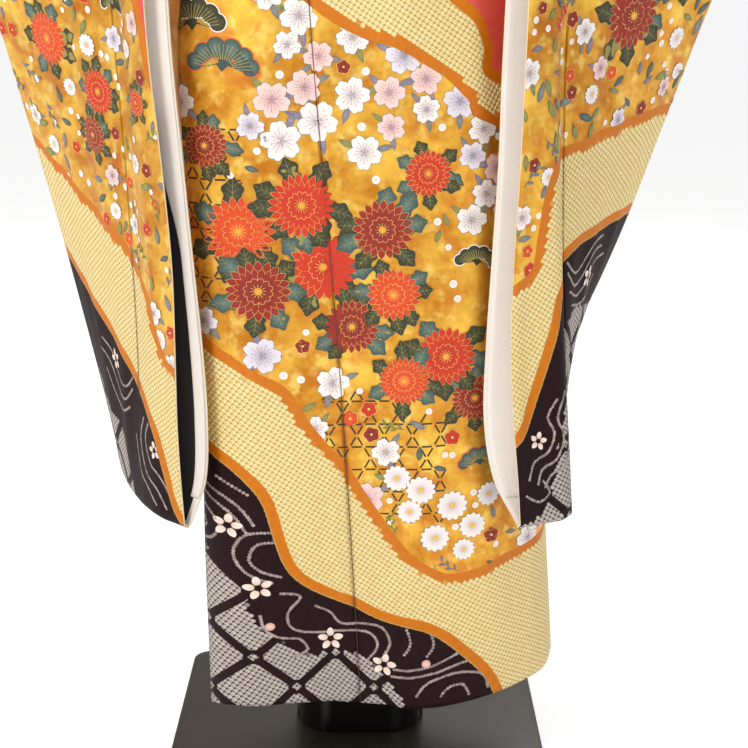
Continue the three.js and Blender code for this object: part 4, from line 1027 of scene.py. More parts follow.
def sleeve_mesh(name, g, curves):
    F, B, E, side = g["F"], g["B"], g["E"], g["side"]
    R, C = F.shape[:2]
    low = (F[0] + B[0]) / 2 - np.array([0, 0, 4.0])
    high = (F[-1] + B[-1]) / 2 + np.array([0, 0, 4.5])
    pts = np.concatenate([F.reshape(-1, 3), B.reshape(-1, 3), low, high, E])
    uv = np.concatenate([np.column_stack([g["S"].ravel(), np.repeat(g["w"], C)])] * 2
                        + [np.column_stack([g["S"][0], np.full(C, g["w"][0] - 5)]), np.column_stack([g["S"][-1], np.full(C, g["w"][-1] + 5)]),
                           np.column_stack([g["S"][:, -1] + 6, g["w"]])])
    f = lambda i, j: i * C + j
    b = lambda i, j: R * C + i * C + j
    m = lambda j: 2 * R * C + j
    t = lambda j: 2 * R * C + C + j
    e = lambda i: 2 * R * C + 2 * C + i
    faces = []
    for i in range(R - 1):
        for j in range(C - 1):
            faces.append((f(i, j), f(i, j + 1), f(i + 1, j + 1), f(i + 1, j)))
            faces.append((b(i, j + 1), b(i, j), b(i + 1, j), b(i + 1, j + 1)))
        if g["has_end"][i] and g["has_end"][i + 1]:
            faces.append((f(i, C - 1), e(i), e(i + 1), f(i + 1, C - 1)))
            faces.append((e(i), b(i, C - 1), b(i + 1, C - 1), e(i + 1)))
    for j in range(C - 1):
        faces.append((m(j), m(j + 1), f(0, j + 1), f(0, j)))
        faces.append((b(0, j), b(0, j + 1), m(j + 1), m(j)))
        faces.append((f(R - 1, j), f(R - 1, j + 1), t(j + 1), t(j)))
        faces.append((t(j), t(j + 1), b(R - 1, j + 1), b(R - 1, j)))
    faces.append((m(C - 1), e(0), f(0, C - 1)))
    faces.append((m(C - 1), b(0, C - 1), e(0)))
    used = np.unique(np.concatenate([np.array(x) for x in faces]))
    new = np.full(len(pts), -1)
    new[used] = np.arange(len(used))
    faces = [tuple(int(new[i]) for i in x) for x in faces]
    pts, uv = pts[used].copy(), uv[used]
    if side < 0:
        pts[:, 0] *= -1
        faces = [tuple(reversed(x)) for x in faces]
    V, faces, kinds = thicken(pts, faces, 1.6)
    if side < 0:  # the deep inside of this sleeve is coloured near-black: painted shade in place of the pale lining
        first = np.array([x[0] % len(uv) for x in faces])
        kinds = np.where((kinds == 1) & (uv[first, 0] > 8) & (uv[first, 1] < 690), 3, kinds)
    fl = {k: np.concatenate([a, a]) for k, a in fields(uv, curves).items()}
    return make(name, V, faces, [GOLD, PALE, PIPING, SLEEVE_INSIDE_SHADE], kinds, np.concatenate([uv, uv]), fl)


GL, GR = sleeve_grid(SLEEVE_L, 1), sleeve_grid(SLEEVE_R, -1)
KEEP["sleeve_left"] = sleeve_mesh("sleeve_left_silk", GL, SLEEVE_CURVES["L"])
KEEP["sleeve_right"] = sleeve_mesh("sleeve_right_silk", GR, SLEEVE_CURVES["R"])


def lining(name, g):
    rows = np.where((g["w"] >= 335) & (g["w"] <= 1010))[0]
    B = g["B"][rows]
    inward = grid_normals(g["B"])[rows]
    inward[..., 2] = 0
    inward /= np.linalg.norm(inward, axis=2, keepdims=True)
    strip = (B + inward * (0.8 + 0.5 + 0.9))[:, :13]
    first = mix(strip[:, 0], strip[:, 1], 0.35)[:, None]
    if g["side"] < 0:  # narrows towards the bottom
        k = np.clip(mix(0.26, 1.0, smooth(560, 720, g["w"][rows])), 0, 1)[:, None, None]
        strip = strip[:, :1] + (strip - strip[:, :1]) * k
    G = np.concatenate([first, strip[:, 1:11]], axis=1)
    if g["side"] < 0:
        G = G[:, ::-1].copy()
        G[..., 0] *= -1
    V, F, K = thicken(G.reshape(-1, 3), grid_faces(*G.shape[:2]), 1.0)
    return make(name, V, F, [PALE])


KEEP["sleeve_left_lining"] = lining("sleeve_left_lining_strip", GL)
KEEP["sleeve_right_lining"] = lining("sleeve_right_lining_strip", GR)


# ------------------------------------------------------------------ obi
def obi_band():
    cols, rows = 200, 26
    t = np.linspace(0, 1, rows)
    p = -1 + 4 * np.arange(cols) / cols
    z = mix(OBI["bottom"], OBI["top"], t)
    Z, Pp = np.meshgrid(z, p, indexing="ij")
    T = np.repeat(t[:, None], cols, 1)
    wrap = 0.5 * np.sin(T * 9 + np.sin(Pp * 3.1) * 0.8) + 0.7 * bump(T, 0.34 + 0.03 * np.sin(Pp * 3.0), 0.05) + 0.6 * bump(T, 0.71 + 0.03 * np.sin(Pp * 2.1 + 1), 0.05)
    l = level_of(Z)
    G = skirt(Z, Pp) + normal(np.minimum(l, 0.995), Pp) * (OBI["lift"] + np.maximum(wrap, -0.3))[..., None]
    V, F, K = thicken(G.reshape(-1, 3), grid_faces(rows, cols, True), OBI["wall"])
    return make("obi_band", V, F, [OBI_SILK])


KEEP["obi"] = obi_band()


def drum():
    """The obi's end, folded into a flat hollow drum at the back: one loop of cloth."""
    half, low, high, y0, thick = 143.6, 936.4, 1138.6, 130.4, 37.2
    n, cols = 84, 50
    a = np.linspace(0, 2 * math.pi, n, endpoint=False)
    cz = np.sign(np.cos(a)) * np.abs(np.cos(a)) ** 0.45
    cy = np.sign(np.sin(a)) * np.abs(np.sin(a)) ** (0.45 * 1.3)
    x = np.linspace(-half, half, cols)
    G = np.empty((cols, n, 3))
    for i, xx in enumerate(x):
        sag = 1.6 * math.cos(xx / half * math.pi / 2)
        G[i, :, 0] = xx
        G[i, :, 1] = y0 + thick / 2 + cy * thick / 2 - 12 * (xx / half) ** 2 - 0.8 * np.sin(cz * 4 + xx * 0.02) * (cy > 0)
        G[i, :, 2] = mix(low, high, (cz + 1) / 2) - sag * (cz > 0.4)
    faces = []
    for i in range(cols - 1):
        for j in range(n):
            k = (j + 1) % n
            faces.append((i * n + j, (i + 1) * n + k, (i + 1) * n + j)[0:0] or (i * n + j, i * n + k, (i + 1) * n + k, (i + 1) * n + j))
    V = G.reshape(-1, 3)
    nrm = vertex_normals(V, faces)
    centre = V.mean(0)
    if ((V - centre) * nrm).sum() < 0:
        faces = [tuple(reversed(x)) for x in faces]
    W, F, K = thicken(V, faces, 2.2)
    return make("obi_drum_knot", W, F, [OBI_SILK])


KEEP["obi_knot"] = drum()


# ------------------------------------------------------------------ the stand
def torso():
    cols = 96
    z = np.unique(np.concatenate([np.linspace(706, 716, 5), np.linspace(716, 1470, 150), np.linspace(1470, 1480, 6)]))
    a = 2 * math.pi * np.arange(cols) / cols
    s, c, n = np.sin(a), np.cos(a), 2.15
    q = (np.abs(s) ** n + np.abs(c) ** n) ** (-1 / n)
    half = np.interp(z, FORM["z"], column(FORM, "half", FORM["z"])) * 0 + column(FORM, "half", z)
    depth = column(FORM, "depth", z)
    rings = []
    for zz, h, d in zip(z, half, depth):
        rings.append(np.column_stack([COLUMN["x"] + h * q * s, 2 - d * q * c, np.full(cols, zz)]))
    for scale, dz in ((0.93, 0.0), (0.6, 0.0), (0.25, 0.0)):
        top = rings[-1 if scale == 0.93 else -1].copy()
        base = np.column_stack([COLUMN["x"] + half[-1] * q * s * scale, 2 - depth[-1] * q * c * scale, np.full(cols, 1480.0)])
        rings.append(base)
    foot = [np.column_stack([COLUMN["x"] + half[0] * q * s * k, 2 - depth[0] * q * c * k, np.full(cols, 706.0)]) for k in (0.25, 0.6, 0.93)]
    G = np.array(foot + rings)
    R = len(G)
    V = np.concatenate([G.reshape(-1, 3), [[COLUMN["x"], 2, 706.0], [COLUMN["x"], 2, 1480.0]]])
    faces = grid_faces(R, cols, True)
    for j in range(cols):
        faces.append((R * cols, (j + 1) % cols, j))
        faces.append((R * cols + 1, (R - 1) * cols + j, (R - 1) * cols + (j + 1) % cols))
    return make("form_torso_shell", V, faces, [SHELL])


KEEP["form_torso"] = torso()


def slab_outline(width, depth, corner, n=14):
    pts = []
    for cx, cy, a0 in ((1, -1, -90), (1, 1, 0), (-1, 1, 90), (-1, -1, 180)):
        for k in range(n + 1):
            a = math.radians(a0 + 90 * k / n)
            pts.append((cx * (width / 2 - corner) + corner * math.cos(a), cy * (depth / 2 - corner) + corner * math.sin(a)))
    return np.array(pts)


def bevelled(name, width, depth, corner, x, y, z0, z1, bevel, mat, inner_rows=1):
    rings = []
    steps = [(0, 0)] if bevel == 0 else [(bevel * (1 - math.sin(t)), bevel * (1 - math.cos(t))) for t in np.linspace(0, math.pi / 2, 5)]
    outline = lambda inset: slab_outline(width - 2 * inset, depth - 2 * inset, max(corner - inset, 1))
    for ins, dz in steps:
        rings.append((outline(ins), z0 + bevel - (bevel - dz) if bevel else z0))
    rows = [(o, z) for o, z in rings]
    low = [(outline(bevel * (1 - math.sin(t))), z0 + bevel * (1 - math.cos(t))) for t in np.linspace(0, math.pi / 2, 5)]
    high = [(outline(bevel * (1 - math.cos(t))), z1 - bevel * (1 - math.sin(t))) for t in np.linspace(0, math.pi / 2, 5)]
    mids = [(outline(0), mix(z0 + bevel, z1 - bevel, k)) for k in np.linspace(0, 1, inner_rows + 1)[1:-1]]
    rows = low + mids + high
    inset_top = slab_outline(width - 2 * (bevel + 6), depth - 2 * (bevel + 6), max(corner - bevel - 6, 1))
    rows = [(inset_top, z0)] + rows + [(inset_top, z1)]
    n = len(rows[0][0])
    V = np.concatenate([np.column_stack([o[:, 0] + x, o[:, 1] + y, np.full(n, z)]) for o, z in rows])
    faces = grid_faces(len(rows), n, True)
    faces.append(tuple(range(n - 1, -1, -1)))
    faces.append(tuple((len(rows) - 1) * n + i for i in range(n)))
    return make(name, V, faces, [mat])


KEEP["base_plate"] = bevelled("base_plate_slab", PLATE["side"], PLATE["side"], PLATE["corner"], 0, 0, 0, PLATE["thick"], 1.6, PLATE_PAINT)
KEEP["stand_column"] = bevelled("stand_column_body", COLUMN["width"], COLUMN["depth"], COLUMN["corner"], COLUMN["x"], COLUMN["y"], COLUMN["foot"], COLUMN["top"], 2.0, GLOSS, 12)

TRIMS = []
for i, sx in enumerate((-1, 1)):
    # a slim bright strip let into each side of the column
    x = COLUMN["x"] + sx * (COLUMN["width"] / 2 + 0.4)
    o = slab_outline(3.0, 7.0, 1.2, 5)
    zs = [9.0, 9.6] + list(np.linspace(20, 690, 12)) + [704.4, 705.0]
    sc = [0.8] + [1.0] * (len(zs) - 2) + [0.8]
    n = len(o)
    V = np.concatenate([np.column_stack([o[:, 0] * k + x, o[:, 1] * k + COLUMN["y"] - 4, np.full(n, z)]) for z, k in zip(zs, sc)])
    f = grid_faces(len(zs), n, True) + [tuple(range(n - 1, -1, -1)), tuple((len(zs) - 1) * n + j for j in range(n))]
    TRIMS.append(make(("column_trim_right", "column_trim_left")[i], V, f, [TRIM]))


# ------------------------------------------------------------------ dyed motifs
class Patch:
    """Places cloth coordinates (s, w) of one face of the cloth in space."""

    def __init__(self, S, w, G, N):
        self.S, self.w, self.G, self.N = S, np.asarray(w, float), G, N

    def place(self, q, h):
        s, w = q[:, 0], np.clip(q[:, 1], self.w[0], self.w[-1] - 1e-6)
        i = np.clip(np.searchsorted(self.w, w, side="right") - 1, 0, len(self.w) - 2)
        t = (w - self.w[i]) / (self.w[i + 1] - self.w[i])
        out = np.empty((len(q), 3))
        for r in np.unique(i):
            k = i == r
            a = np.column_stack([np.interp(s[k], self.S[r], self.G[r, :, c] + 0) for c in range(3)])
            b = np.column_stack([np.interp(s[k], self.S[r + 1], self.G[r + 1, :, c]) for c in range(3)])
            na = np.column_stack([np.interp(s[k], self.S[r], self.N[r, :, c]) for c in range(3)])
            nb = np.column_stack([np.interp(s[k], self.S[r + 1], self.N[r + 1, :, c]) for c in range(3)])
            tt = t[k][:, None]
            n = mix(na, nb, tt)
            n /= np.linalg.norm(n, axis=1, keepdims=True)
            out[k] = mix(a, b, tt) + n * h[k][:, None]
        return out


class Dye:
    """Flat motifs drawn in cloth coordinates: vertices, layer heights and colours."""

    def __init__(self):
        self.q, self.h, self.c, self.f = [], [], [], []
        self.seam = False
        self.n = 0

    def add(self, pts, h, colours, faces):
        pts = np.asarray(pts, float)
        k = len(pts)
        self.q.append(pts)
        self.h.append(np.full(k, h))
        self.c.append(np.broadcast_to(np.asarray(colours, float), (k, 3)))
        self.f += [tuple(i + self.n for i in f) for f in faces]
        self.n += k

    def blob(self, outline, centre, h, inner, outer, rings=(0.45, 1.0)):
        """A filled outline round a centre, shaded from inner to outer colour."""
        o = np.asarray(outline, float)
        c = np.asarray(centre, float)
        m = len(o)
        pts, col, faces = [c[None]], [np.asarray(inner, float)[None]], []
        for r in rings:
            pts.append(c + (o - c) * r)
            col.append(np.broadcast_to(mix(np.asarray(inner, float), np.asarray(outer, float), r), (m, 3)))
        for j in range(m):
            faces.append((0, 1 + j, 1 + (j + 1) % m))
        for r in range(len(rings) - 1):
            a, b = 1 + r * m, 1 + (r + 1) * m
            for j in range(m):
                k = (j + 1) % m
                faces.append((a + j, b + j, b + k, a + k))
        self.add(np.concatenate(pts), h, np.concatenate(col), faces)

    def line(self, path, width, h, colour, end=None):
        """A ribbon along a path; width may taper to end."""
        p = np.asarray(path, float)
        d = np.gradient(p, axis=0)
        d /= np.maximum(np.linalg.norm(d, axis=1, keepdims=True), 1e-9)
        n = np.stack([-d[:, 1], d[:, 0]], 1)
        w = np.linspace(width, width if end is None else end, len(p))[:, None] / 2
        m = len(p)
        self.add(np.concatenate([p + n * w, p - n * w]), h, colour, [(j + m, j + 1 + m, j + 1, j) for j in range(m - 1)])


def turned(pts, angle, centre=(0, 0)):
    c, s = math.cos(angle), math.sin(angle)
    p = np.asarray(pts, float)
    return np.column_stack([p[:, 0] * c - p[:, 1] * s + centre[0], p[:, 0] * s + p[:, 1] * c + centre[1]])


def petal_shape(kind, length, width, n=9):
    """Outline of a petal that grows along +x from its base."""
    t = np.linspace(0, 1, n)
    if kind == "cherry":
        half = width / 2 * np.sin(math.pi * np.clip(t, 0, 1) ** 1.35 * 0.95) ** 0.8
        half[0] = width * 0.05
        x = length * t
        x[-1], half[-1] = length * 0.93, 0
        x[-2], half[-2] = length * 0.99, width * 0.17
        x[-3], half[-3] = length * 0.94, width * 0.34
    elif kind == "chrys":
        half = width / 2 * (0.20 + 0.80 * np.sin(math.pi * np.clip(t, 0, 1) ** 1.9) ** 0.8)
        half[-1], x = 0.06 * width, length * t
    elif kind == "leaf":
        half, x = width / 2 * np.sin(math.pi * t ** 0.8) ** 0.9, length * t
    else:
        half, x = width / 2 * np.sin(math.pi * (0.06 + 0.94 * t) ** 0.9) ** 0.55, length * t
        half[-1] = 0.0
    up = np.column_stack([x, half])
    dn = np.column_stack([x[::-1], -half[::-1]])
    return np.concatenate([dn, up])


PALETTE = {
    "white": ((222, 206, 214), (252, 247, 242)), "pink": ((226, 176, 184), (248, 216, 210)), "lavender": ((190, 182, 206), (236, 230, 240)),
    "red": ((90, 2, 4), (160, 12, 8)), "orange": ((232, 92, 14), (212, 50, 4)), "vermilion": ((176, 24, 2), (212, 40, 4)), "dusk": ((116, 108, 136), (174, 166, 184)),
    "green": ((22, 34, 22), (62, 72, 44)), "grey": ((104, 112, 118), (160, 160, 164)), "teal": ((40, 74, 74), (92, 124, 118)),
    "moss": ((120, 130, 50), (176, 170, 76)), "purple": ((60, 26, 56), (112, 60, 108)),
}
PAL = {k: (srgb(*a), srgb(*b)) for k, (a, b) in PALETTE.items()}
FINE_GOLD, FINE_GREY, FINE_DARK = srgb(250, 214, 120), srgb(120, 112, 112), srgb(40, 26, 20)


def outline_grow(o, centre, by):
    c = np.asarray(centre, float)
    d = o - c
    r = np.maximum(np.linalg.norm(d, axis=1, keepdims=True), 1e-6)
    return c + d * (1 + by / r)


def petal(dye, centre, angle, r0, length, width, kind, h, tone, line, edge=0.45):
    o = turned(petal_shape(kind, length, width) + np.array([r0, 0]), angle, centre)
    mid = turned([[r0 + length * 0.5, 0]], angle, centre)[0]
    near = dye.seam and abs(mid[0] - float(seam_u(mid[1]))) < 5 + length * 0.22
    if edge and not near:
        dye.blob(outline_grow(o, mid, edge), mid, h, line, line, (1.0,))
    base, tip = tone
    # shaded from the flower's middle outward
    m = len(o)
    along = np.clip((np.linalg.norm(o - np.asarray(centre), axis=1) - r0) / length, 0, 1) ** 0.8
    col = mix(np.asarray(base)[None], np.asarray(tip)[None], along[:, None])
    cm = mix(np.asarray(base), np.asarray(tip), 0.6)
    pts = np.concatenate([mid[None], o])
    dye.add(pts, h + 0.03, np.concatenate([cm[None], col]), [(0, 1 + j, 1 + (j + 1) % m) for j in range(m)])


def cherry(dye, c, r, turn_, h, tone="white", line=FINE_GREY):
    for k in range(5):
        petal(dye, c, turn_ + k * 2 * math.pi / 5, r * 0.05, r * 0.95, r * 0.83, "cherry", h + 0.012 * (k % 3), PAL[tone], line, 0.35)
    for k in range(15):
        a = turn_ + k * 2 * math.pi / 15
        e = 0.50 + 0.12 * (k % 3 == 0)
        p = [(c[0] + math.cos(a) * r * f, c[1] + math.sin(a) * r * f) for f in (0.08, 0.3, e)]
        dye.line(p, 0.35, h + 0.06, FINE_GREY, 0.25)
        dye.blob(turned([(0.55, 0), (0, 0.55), (-0.55, 0), (0, -0.55)], 0, p[-1]), p[-1], h + 0.07, srgb(190, 140, 60), srgb(190, 140, 60), (1.0,))


def plum(dye, c, r, turn_, h, tone, line=FINE_GOLD):
    for k in range(5):
        petal(dye, c, turn_ + k * 2 * math.pi / 5, r * 0.10, r * 0.88, r * 0.98, "round", h + 0.005 * (k % 2), PAL[tone], line, 0.4)
    o = [(math.cos(a) * r * 0.16, math.sin(a) * r * 0.16) for a in np.linspace(0, 2 * math.pi, 9)[:-1]]
    dye.blob(turned(o, 0, c), c, h + 0.07, FINE_GOLD, FINE_GOLD, (1.0,))


def shibori_plum(dye, c, r, turn_, h=0.4):
    """Five separate drop-shaped pale petals."""
    for k in range(5):
        petal(dye, c, turn_ + k * 2 * math.pi / 5, r * 0.26, r * 0.72, r * 0.52, "round", h, (srgb(226, 196, 180), srgb(250, 236, 224)), srgb(120, 84, 80), 0.3)


def chrysanthemum(dye, c, r, turn_, h, tone="vermilion", n=22, line=FINE_GOLD):
    for ring, (r0, r1, shift) in enumerate(((0.20, 1.0, 0.0), (0.17, 0.76, 0.5), (0.14, 0.44, 0.0))):
        m = n if ring < 2 else int(n * 0.6)
        for k in range(m):
            a = turn_ + (k + shift) * 2 * math.pi / m
            petal(dye, c, a, r * r0 * 0.7, r * (r1 - r0 * 0.7), r * 2 * math.pi * r1 / m * 0.78, "chrys", h + ring * 0.10 + 0.015 * (k % 2), PAL[tone], line, 0.32)
    o = [(math.cos(a) * r * 0.13, math.sin(a) * r * 0.13) for a in np.linspace(0, 2 * math.pi, 11)[:-1]]
    dye.blob(turned(o, 0, c), c, h + 0.34, srgb(250, 190, 60), srgb(232, 130, 30), (1.0,))


def daisy(dye, c, r, turn_, h, tone="white", n=13):
    for k in range(n):
        a = turn_ + k * 2 * math.pi / n
        petal(dye, c, a, r * 0.16, r * 0.84, r * 0.40, "chrys", h + 0.01 * (k % 2), PAL[tone], FINE_GREY, 0.25)
    o = [(math.cos(a) * r * 0.20, math.sin(a) * r * 0.20) for a in np.linspace(0, 2 * math.pi, 10)[:-1]]
    dye.blob(turned(o, 0, c), c, h + 0.06, srgb(252, 220, 90), srgb(226, 170, 40), (1.0,))


def leaf(dye, c, length, width, turn_, h, tone="green", line=FINE_GOLD, lobes=0):
    if lobes:
        n = 22
        t = np.linspace(0, 1, n)
        half = width / 2 * np.sin(math.pi * t ** 0.75) ** 0.7 * (1 + 0.20 * np.sin(t * lobes * 2 * math.pi))
        o = np.concatenate([np.column_stack([length * t[::-1], -half[::-1]]), np.column_stack([length * t, half])])
    else:
        o = petal_shape("leaf", length, width, 11)
    o = turned(o, turn_, c)
    mid = turned([[length * 0.45, 0]], turn_, c)[0]
    if not (dye.seam and abs(mid[0] - float(seam_u(mid[1]))) < 5 + length * 0.22):
        dye.blob(outline_grow(o, mid, 0.2), mid, h, line, line, (1.0,))
    dye.blob(o, mid, h + 0.05, PAL[tone][1], PAL[tone][0])
    vein = [turned([[length * f, 0]], turn_, c)[0] for f in (0.04, 0.3, 0.6, 0.92)]
    dye.line(vein, 0.5, h + 0.10, line, 0.25)
    for f in (0.25, 0.45, 0.65):
        for s in (1, -1):
            a, b = turned([[length * f, 0], [length * (f + 0.16), s * width * 0.28]], turn_, c)
            dye.line([a, (a + b) / 2, b], 0.35, h + 0.10, line, 0.2)


def pine(dye, c, size, turn_, h, tone="green", rim=srgb(250, 246, 232)):
    """A pine form: a fan of round lobes with needles from its foot and a bright rim."""
    lobes = [(-0.80, -0.10, 0.25), (-0.58, 0.16, 0.27), (-0.22, 0.34, 0.29), (0.22, 0.34, 0.29), (0.58, 0.16, 0.27), (0.80, -0.10, 0.25)]
    circle = np.linspace(0, 2 * math.pi, 15)[:-1]
    shapes = [turned(np.column_stack([np.cos(circle) * r * size, np.sin(circle) * r * size]) + np.array([x * size, y * size]), turn_, c) for x, y, r in lobes]
    for o in shapes:
        dye.blob(outline_grow(o, o.mean(0), 1.1), o.mean(0), h, rim, rim, (1.0,))
    for i, o in enumerate(shapes):
        dye.blob(o, o.mean(0), h + 0.11 + 0.01 * (i % 2), PAL[tone][1], PAL[tone][0])
    fan = turned(np.array([(-0.92, -0.26), (-0.72, 0.08), (-0.36, 0.30), (0, 0.36), (0.36, 0.30), (0.72, 0.08), (0.92, -0.26), (0.5, -0.22), (0.16, -0.12), (0, -0.30), (-0.16, -0.12), (-0.5, -0.22)]) * size, turn_, c)
    foot = turned([[0, -0.02 * size]], turn_, c)[0]
    dye.blob(fan, foot, h + 0.14, PAL[tone][0], PAL[tone][0], (1.0,))
    for k in range(19):
        a = math.pi * (0.02 + 0.96 * k / 18)
        b0, b1 = turned([[math.cos(a) * size * 0.30, -0.22 * size + math.sin(a) * size * 0.26], [math.cos(a) * size * 0.84, -0.20 * size + math.sin(a) * size * 0.66]], turn_, c)
        dye.line([b0, (b0 + b1) / 2, b1], 0.7, h + 0.19, srgb(178, 164, 92), 0.4)


def spray(dye, c, length, turn_, h, rnd, tone="grey"):
    """A thin twig with narrow leaves."""
    path = [turned([[length * f, math.sin(f * 2.4) * length * 0.12]], turn_, c)[0] for f in np.linspace(0, 1, 7)]
    dye.line(path, 0.7, h, PAL[tone][0], 0.3)
    for i, f in enumerate((0.2, 0.4, 0.6, 0.8, 1.0)):
        b = turned([[length * f, math.sin(f * 2.4) * length * 0.12]], turn_, c)[0]
        leaf(dye, b, length * 0.34, length * 0.12, turn_ + (0.7 if i % 2 else -0.7), h + 0.02, tone, PAL[tone][0])


def lattice(dye, centre, half_w, half_h, a, h, keep):
    """Basket lattice: three directions of dark strips that never meet three at a point."""
    gap = a * math.sqrt(3)
    n = int(max(half_w, half_h) * 1.6 / gap) + 1
    for fam, ang in enumerate((0.0, math.pi / 3, 2 * math.pi / 3)):
        for i in range(-n, n):
            off = (i + 0.5) * gap
            for j in range(-3 * n, 3 * n):
                a0 = (j - 0.5) * a
                p, q = turned([[a0 + a * 0.14, off], [a0 + a * 0.86, off]], ang, centre)
                m = (p + q) / 2
                if abs(m[0] - centre[0]) > half_w or abs(m[1] - centre[1]) > half_h or not keep(m):
                    continue
                dye.line([p, m, q], 1.6, h, FINE_DARK)


def dotted_water(dye, path, h, rnd, rows=1, size=1.15):
    """Running water as lines of small tied dots."""
    k = Curve(path)
    p = np.concatenate([k.a, k.b[-1:]])
    arc = np.concatenate([[0], np.cumsum(np.linalg.norm(np.diff(p, axis=0), axis=1))])
    n = max(2, int(arc[-1] / (size * 1.62)))
    at = np.linspace(0, arc[-1], n)
    q = np.column_stack([np.interp(at, arc, p[:, 0]), np.interp(at, arc, p[:, 1])])
    d = np.gradient(q, axis=0)
    d /= np.maximum(np.linalg.norm(d, axis=1, keepdims=True), 1e-9)
    nn = np.stack([-d[:, 1], d[:, 0]], 1)
    hexa = np.column_stack([np.cos(np.linspace(0, 2 * math.pi, 7)[:-1]), np.sin(np.linspace(0, 2 * math.pi, 7)[:-1])])
    for r in range(rows):
        for i in range(n):
            c = q[i] + nn[i] * (r - (rows - 1) / 2) * size * 2.0 + nn[i] * rnd.uniform(-0.2, 0.2)
            t = rnd.uniform(0.5, 1.0)
            col = np.array(srgb(206, 188, 186)) * t
            dye.blob(c + hexa * size * rnd.uniform(0.80, 1.0), c, h, col * 0.4, col, (0.3, 1.0))


def clip_to(q, curve, above, margin):
    """Slides points that lie beyond a border back onto its near side."""
    sd, foot, n = curve.near(q)
    s = 1 if above else -1
    out = sd * s < margin
    q = q.copy()
    q[out] = foot[out] + n[out] * (s * margin)
    return q


def motif_mesh(name, dye, patch, clips, parent):
    q = np.concatenate(dye.q)
    for curve, above, margin in clips:
        q = clip_to(q, curve, above, margin)
    lo, hi = patch.S.min(), patch.S.max()
    V = patch.place(q, np.concatenate(dye.h))
    C = np.concatenate(dye.c)
    # drop faces that clipping has folded to nothing
    keep = []
    tri = np.array([(f[0], f[1], f[2]) for f in dye.f])
    area = np.linalg.norm(np.cross(V[tri[:, 1]] - V[tri[:, 0]], V[tri[:, 2]] - V[tri[:, 0]]), axis=1)
    quad = np.array([(f[0], f[2], f[3]) if len(f) == 4 else (f[0], f[1], f[2]) for f in dye.f])
    area2 = np.linalg.norm(np.cross(V[quad[:, 1]] - V[quad[:, 0]], V[quad[:, 2]] - V[quad[:, 0]]), axis=1)
    faces = [f for f, a, b in zip(dye.f, area, area2) if a > 0.004 and b > 0.004]
    used = np.unique(np.concatenate([np.array(f) for f in faces]))
    new = np.full(len(V), -1)
    new[used] = np.arange(len(used))
    faces = [tuple(int(new[i]) for i in f) for f in faces]
    ob = make(name, V[used], faces, [DYE], colours=C[used])
    ob.parent = parent
    return ob


def body_patch(kind, p0, p1, cols, z0=HEM_Z, z1=884):
    w = np.arange(z0, z1, 5.0)
    lev = level_of(w)
    lo = p0(lev) if callable(p0) else np.full(len(w), p0)
    hi = p1(lev) if callable(p1) else np.full(len(w), p1)
    P = lo[:, None] + (hi - lo)[:, None] * np.linspace(0, 1, cols)[None]
    L = np.repeat(lev[:, None], cols, 1)
    G = skin(kind, L, P)
    N = grid_normals(G)
    S = u_of(P, w[:, None])
    # the callers pass ends pulled in from the cloth's edges a little
    return Patch(S, w, G, N)


BASE = WALL / 2
OUTER = body_patch("outer", lambda l: outer_free(l) + 0.004, lambda l: side_left(l) - 0.004, 110)
BACKP = body_patch("back", lambda l: side_left(l) + 0.004, 2.992, 150)


def scatter_gold(dye, rnd, spots, box, inside, gap, kinds, limit=2600):
    """Fills the free places of a gold field with small flowers and leaves."""
    placed = list(spots)
    tries = 0
    while tries < limit:
        tries += 1
        c = (rnd.uniform(*box[0]), rnd.uniform(*box[1]))
        kind, r = rnd.choice(kinds)
        r = r * rnd.uniform(0.85, 1.15)
        if not inside(c) or any((c[0] - a) ** 2 + (c[1] - b) ** 2 < (r + s + gap) ** 2 for a, b, s in placed):
            continue
        placed.append((c[0], c[1], r))
        a, h = rnd.uniform(0, 6.28), BASE + 0.3 + 0.07 * (len(placed) % 5)
        if kind == "cherry":
            for k in range(2):
                t = a + 0.6 + k * rnd.uniform(1.6, 2.6)
                leaf(dye, (c[0] + math.cos(t) * r * 0.7, c[1] + math.sin(t) * r * 0.7), r * 0.95, r * 0.36, t, BASE + 0.2 + 0.03 * k, rnd.choice(("dusk", "dusk", "grey", "moss")), PAL["grey"][0])
            cherry(dye, c, r, a, h, rnd.choice(("white", "white", "pink", "lavender")))
        elif kind == "bud":
            o = [(math.cos(t) * r, math.sin(t) * r) for t in np.linspace(0, 2 * math.pi, 11)[:-1]]
            dye.blob(turned(o, 0, c), c, h, srgb(236, 214, 214), srgb(255, 250, 244))
        elif kind == "daisy":
            daisy(dye, c, r, a, h)
        elif kind == "plum":
            plum(dye, c, r, a, h, rnd.choice(("vermilion", "red", "orange")))
        elif kind == "leaf":
            leaf(dye, c, r * 2.2, r * 0.8, a, h, rnd.choice(("grey", "moss", "teal")), PAL["grey"][0])
        else:
            spray(dye, c, r * 2, a, h, rnd, rnd.choice(("grey", "moss")))
    return placed


def gold_inside(curves, margin=2, lower="C", upper="B"):
    def test(c):
        q = np.array([c], float)
        return curves[upper].near(q)[0][0] < -margin and curves[lower].near(q)[0][0] > margin
    return test


def bouquet(dye, rnd, c, r, tones, h, leaves=7, tone="green"):
    """One large chrysanthemum with leaves behind it."""
    for k in range(leaves):
        a = k * 2 * math.pi / leaves + rnd.uniform(-0.3, 0.3)
        b = (c[0] + math.cos(a) * r * 0.72, c[1] + math.sin(a) * r * 0.72)
        leaf(dye, b, r * rnd.uniform(0.75, 1.0), r * 0.62, a + rnd.uniform(-0.35, 0.35), h - 0.22 + 0.025 * (k % 4), rnd.choice(("green", "green", "teal")), srgb(150, 140, 70), 2)
    chrysanthemum(dye, c, r, rnd.uniform(0, 1), h, tones, rnd.choice((20, 22, 24)))


front = Dye()
front.seam = True
rnd = random.Random(11)
spots = []
H0 = BASE + 0.45
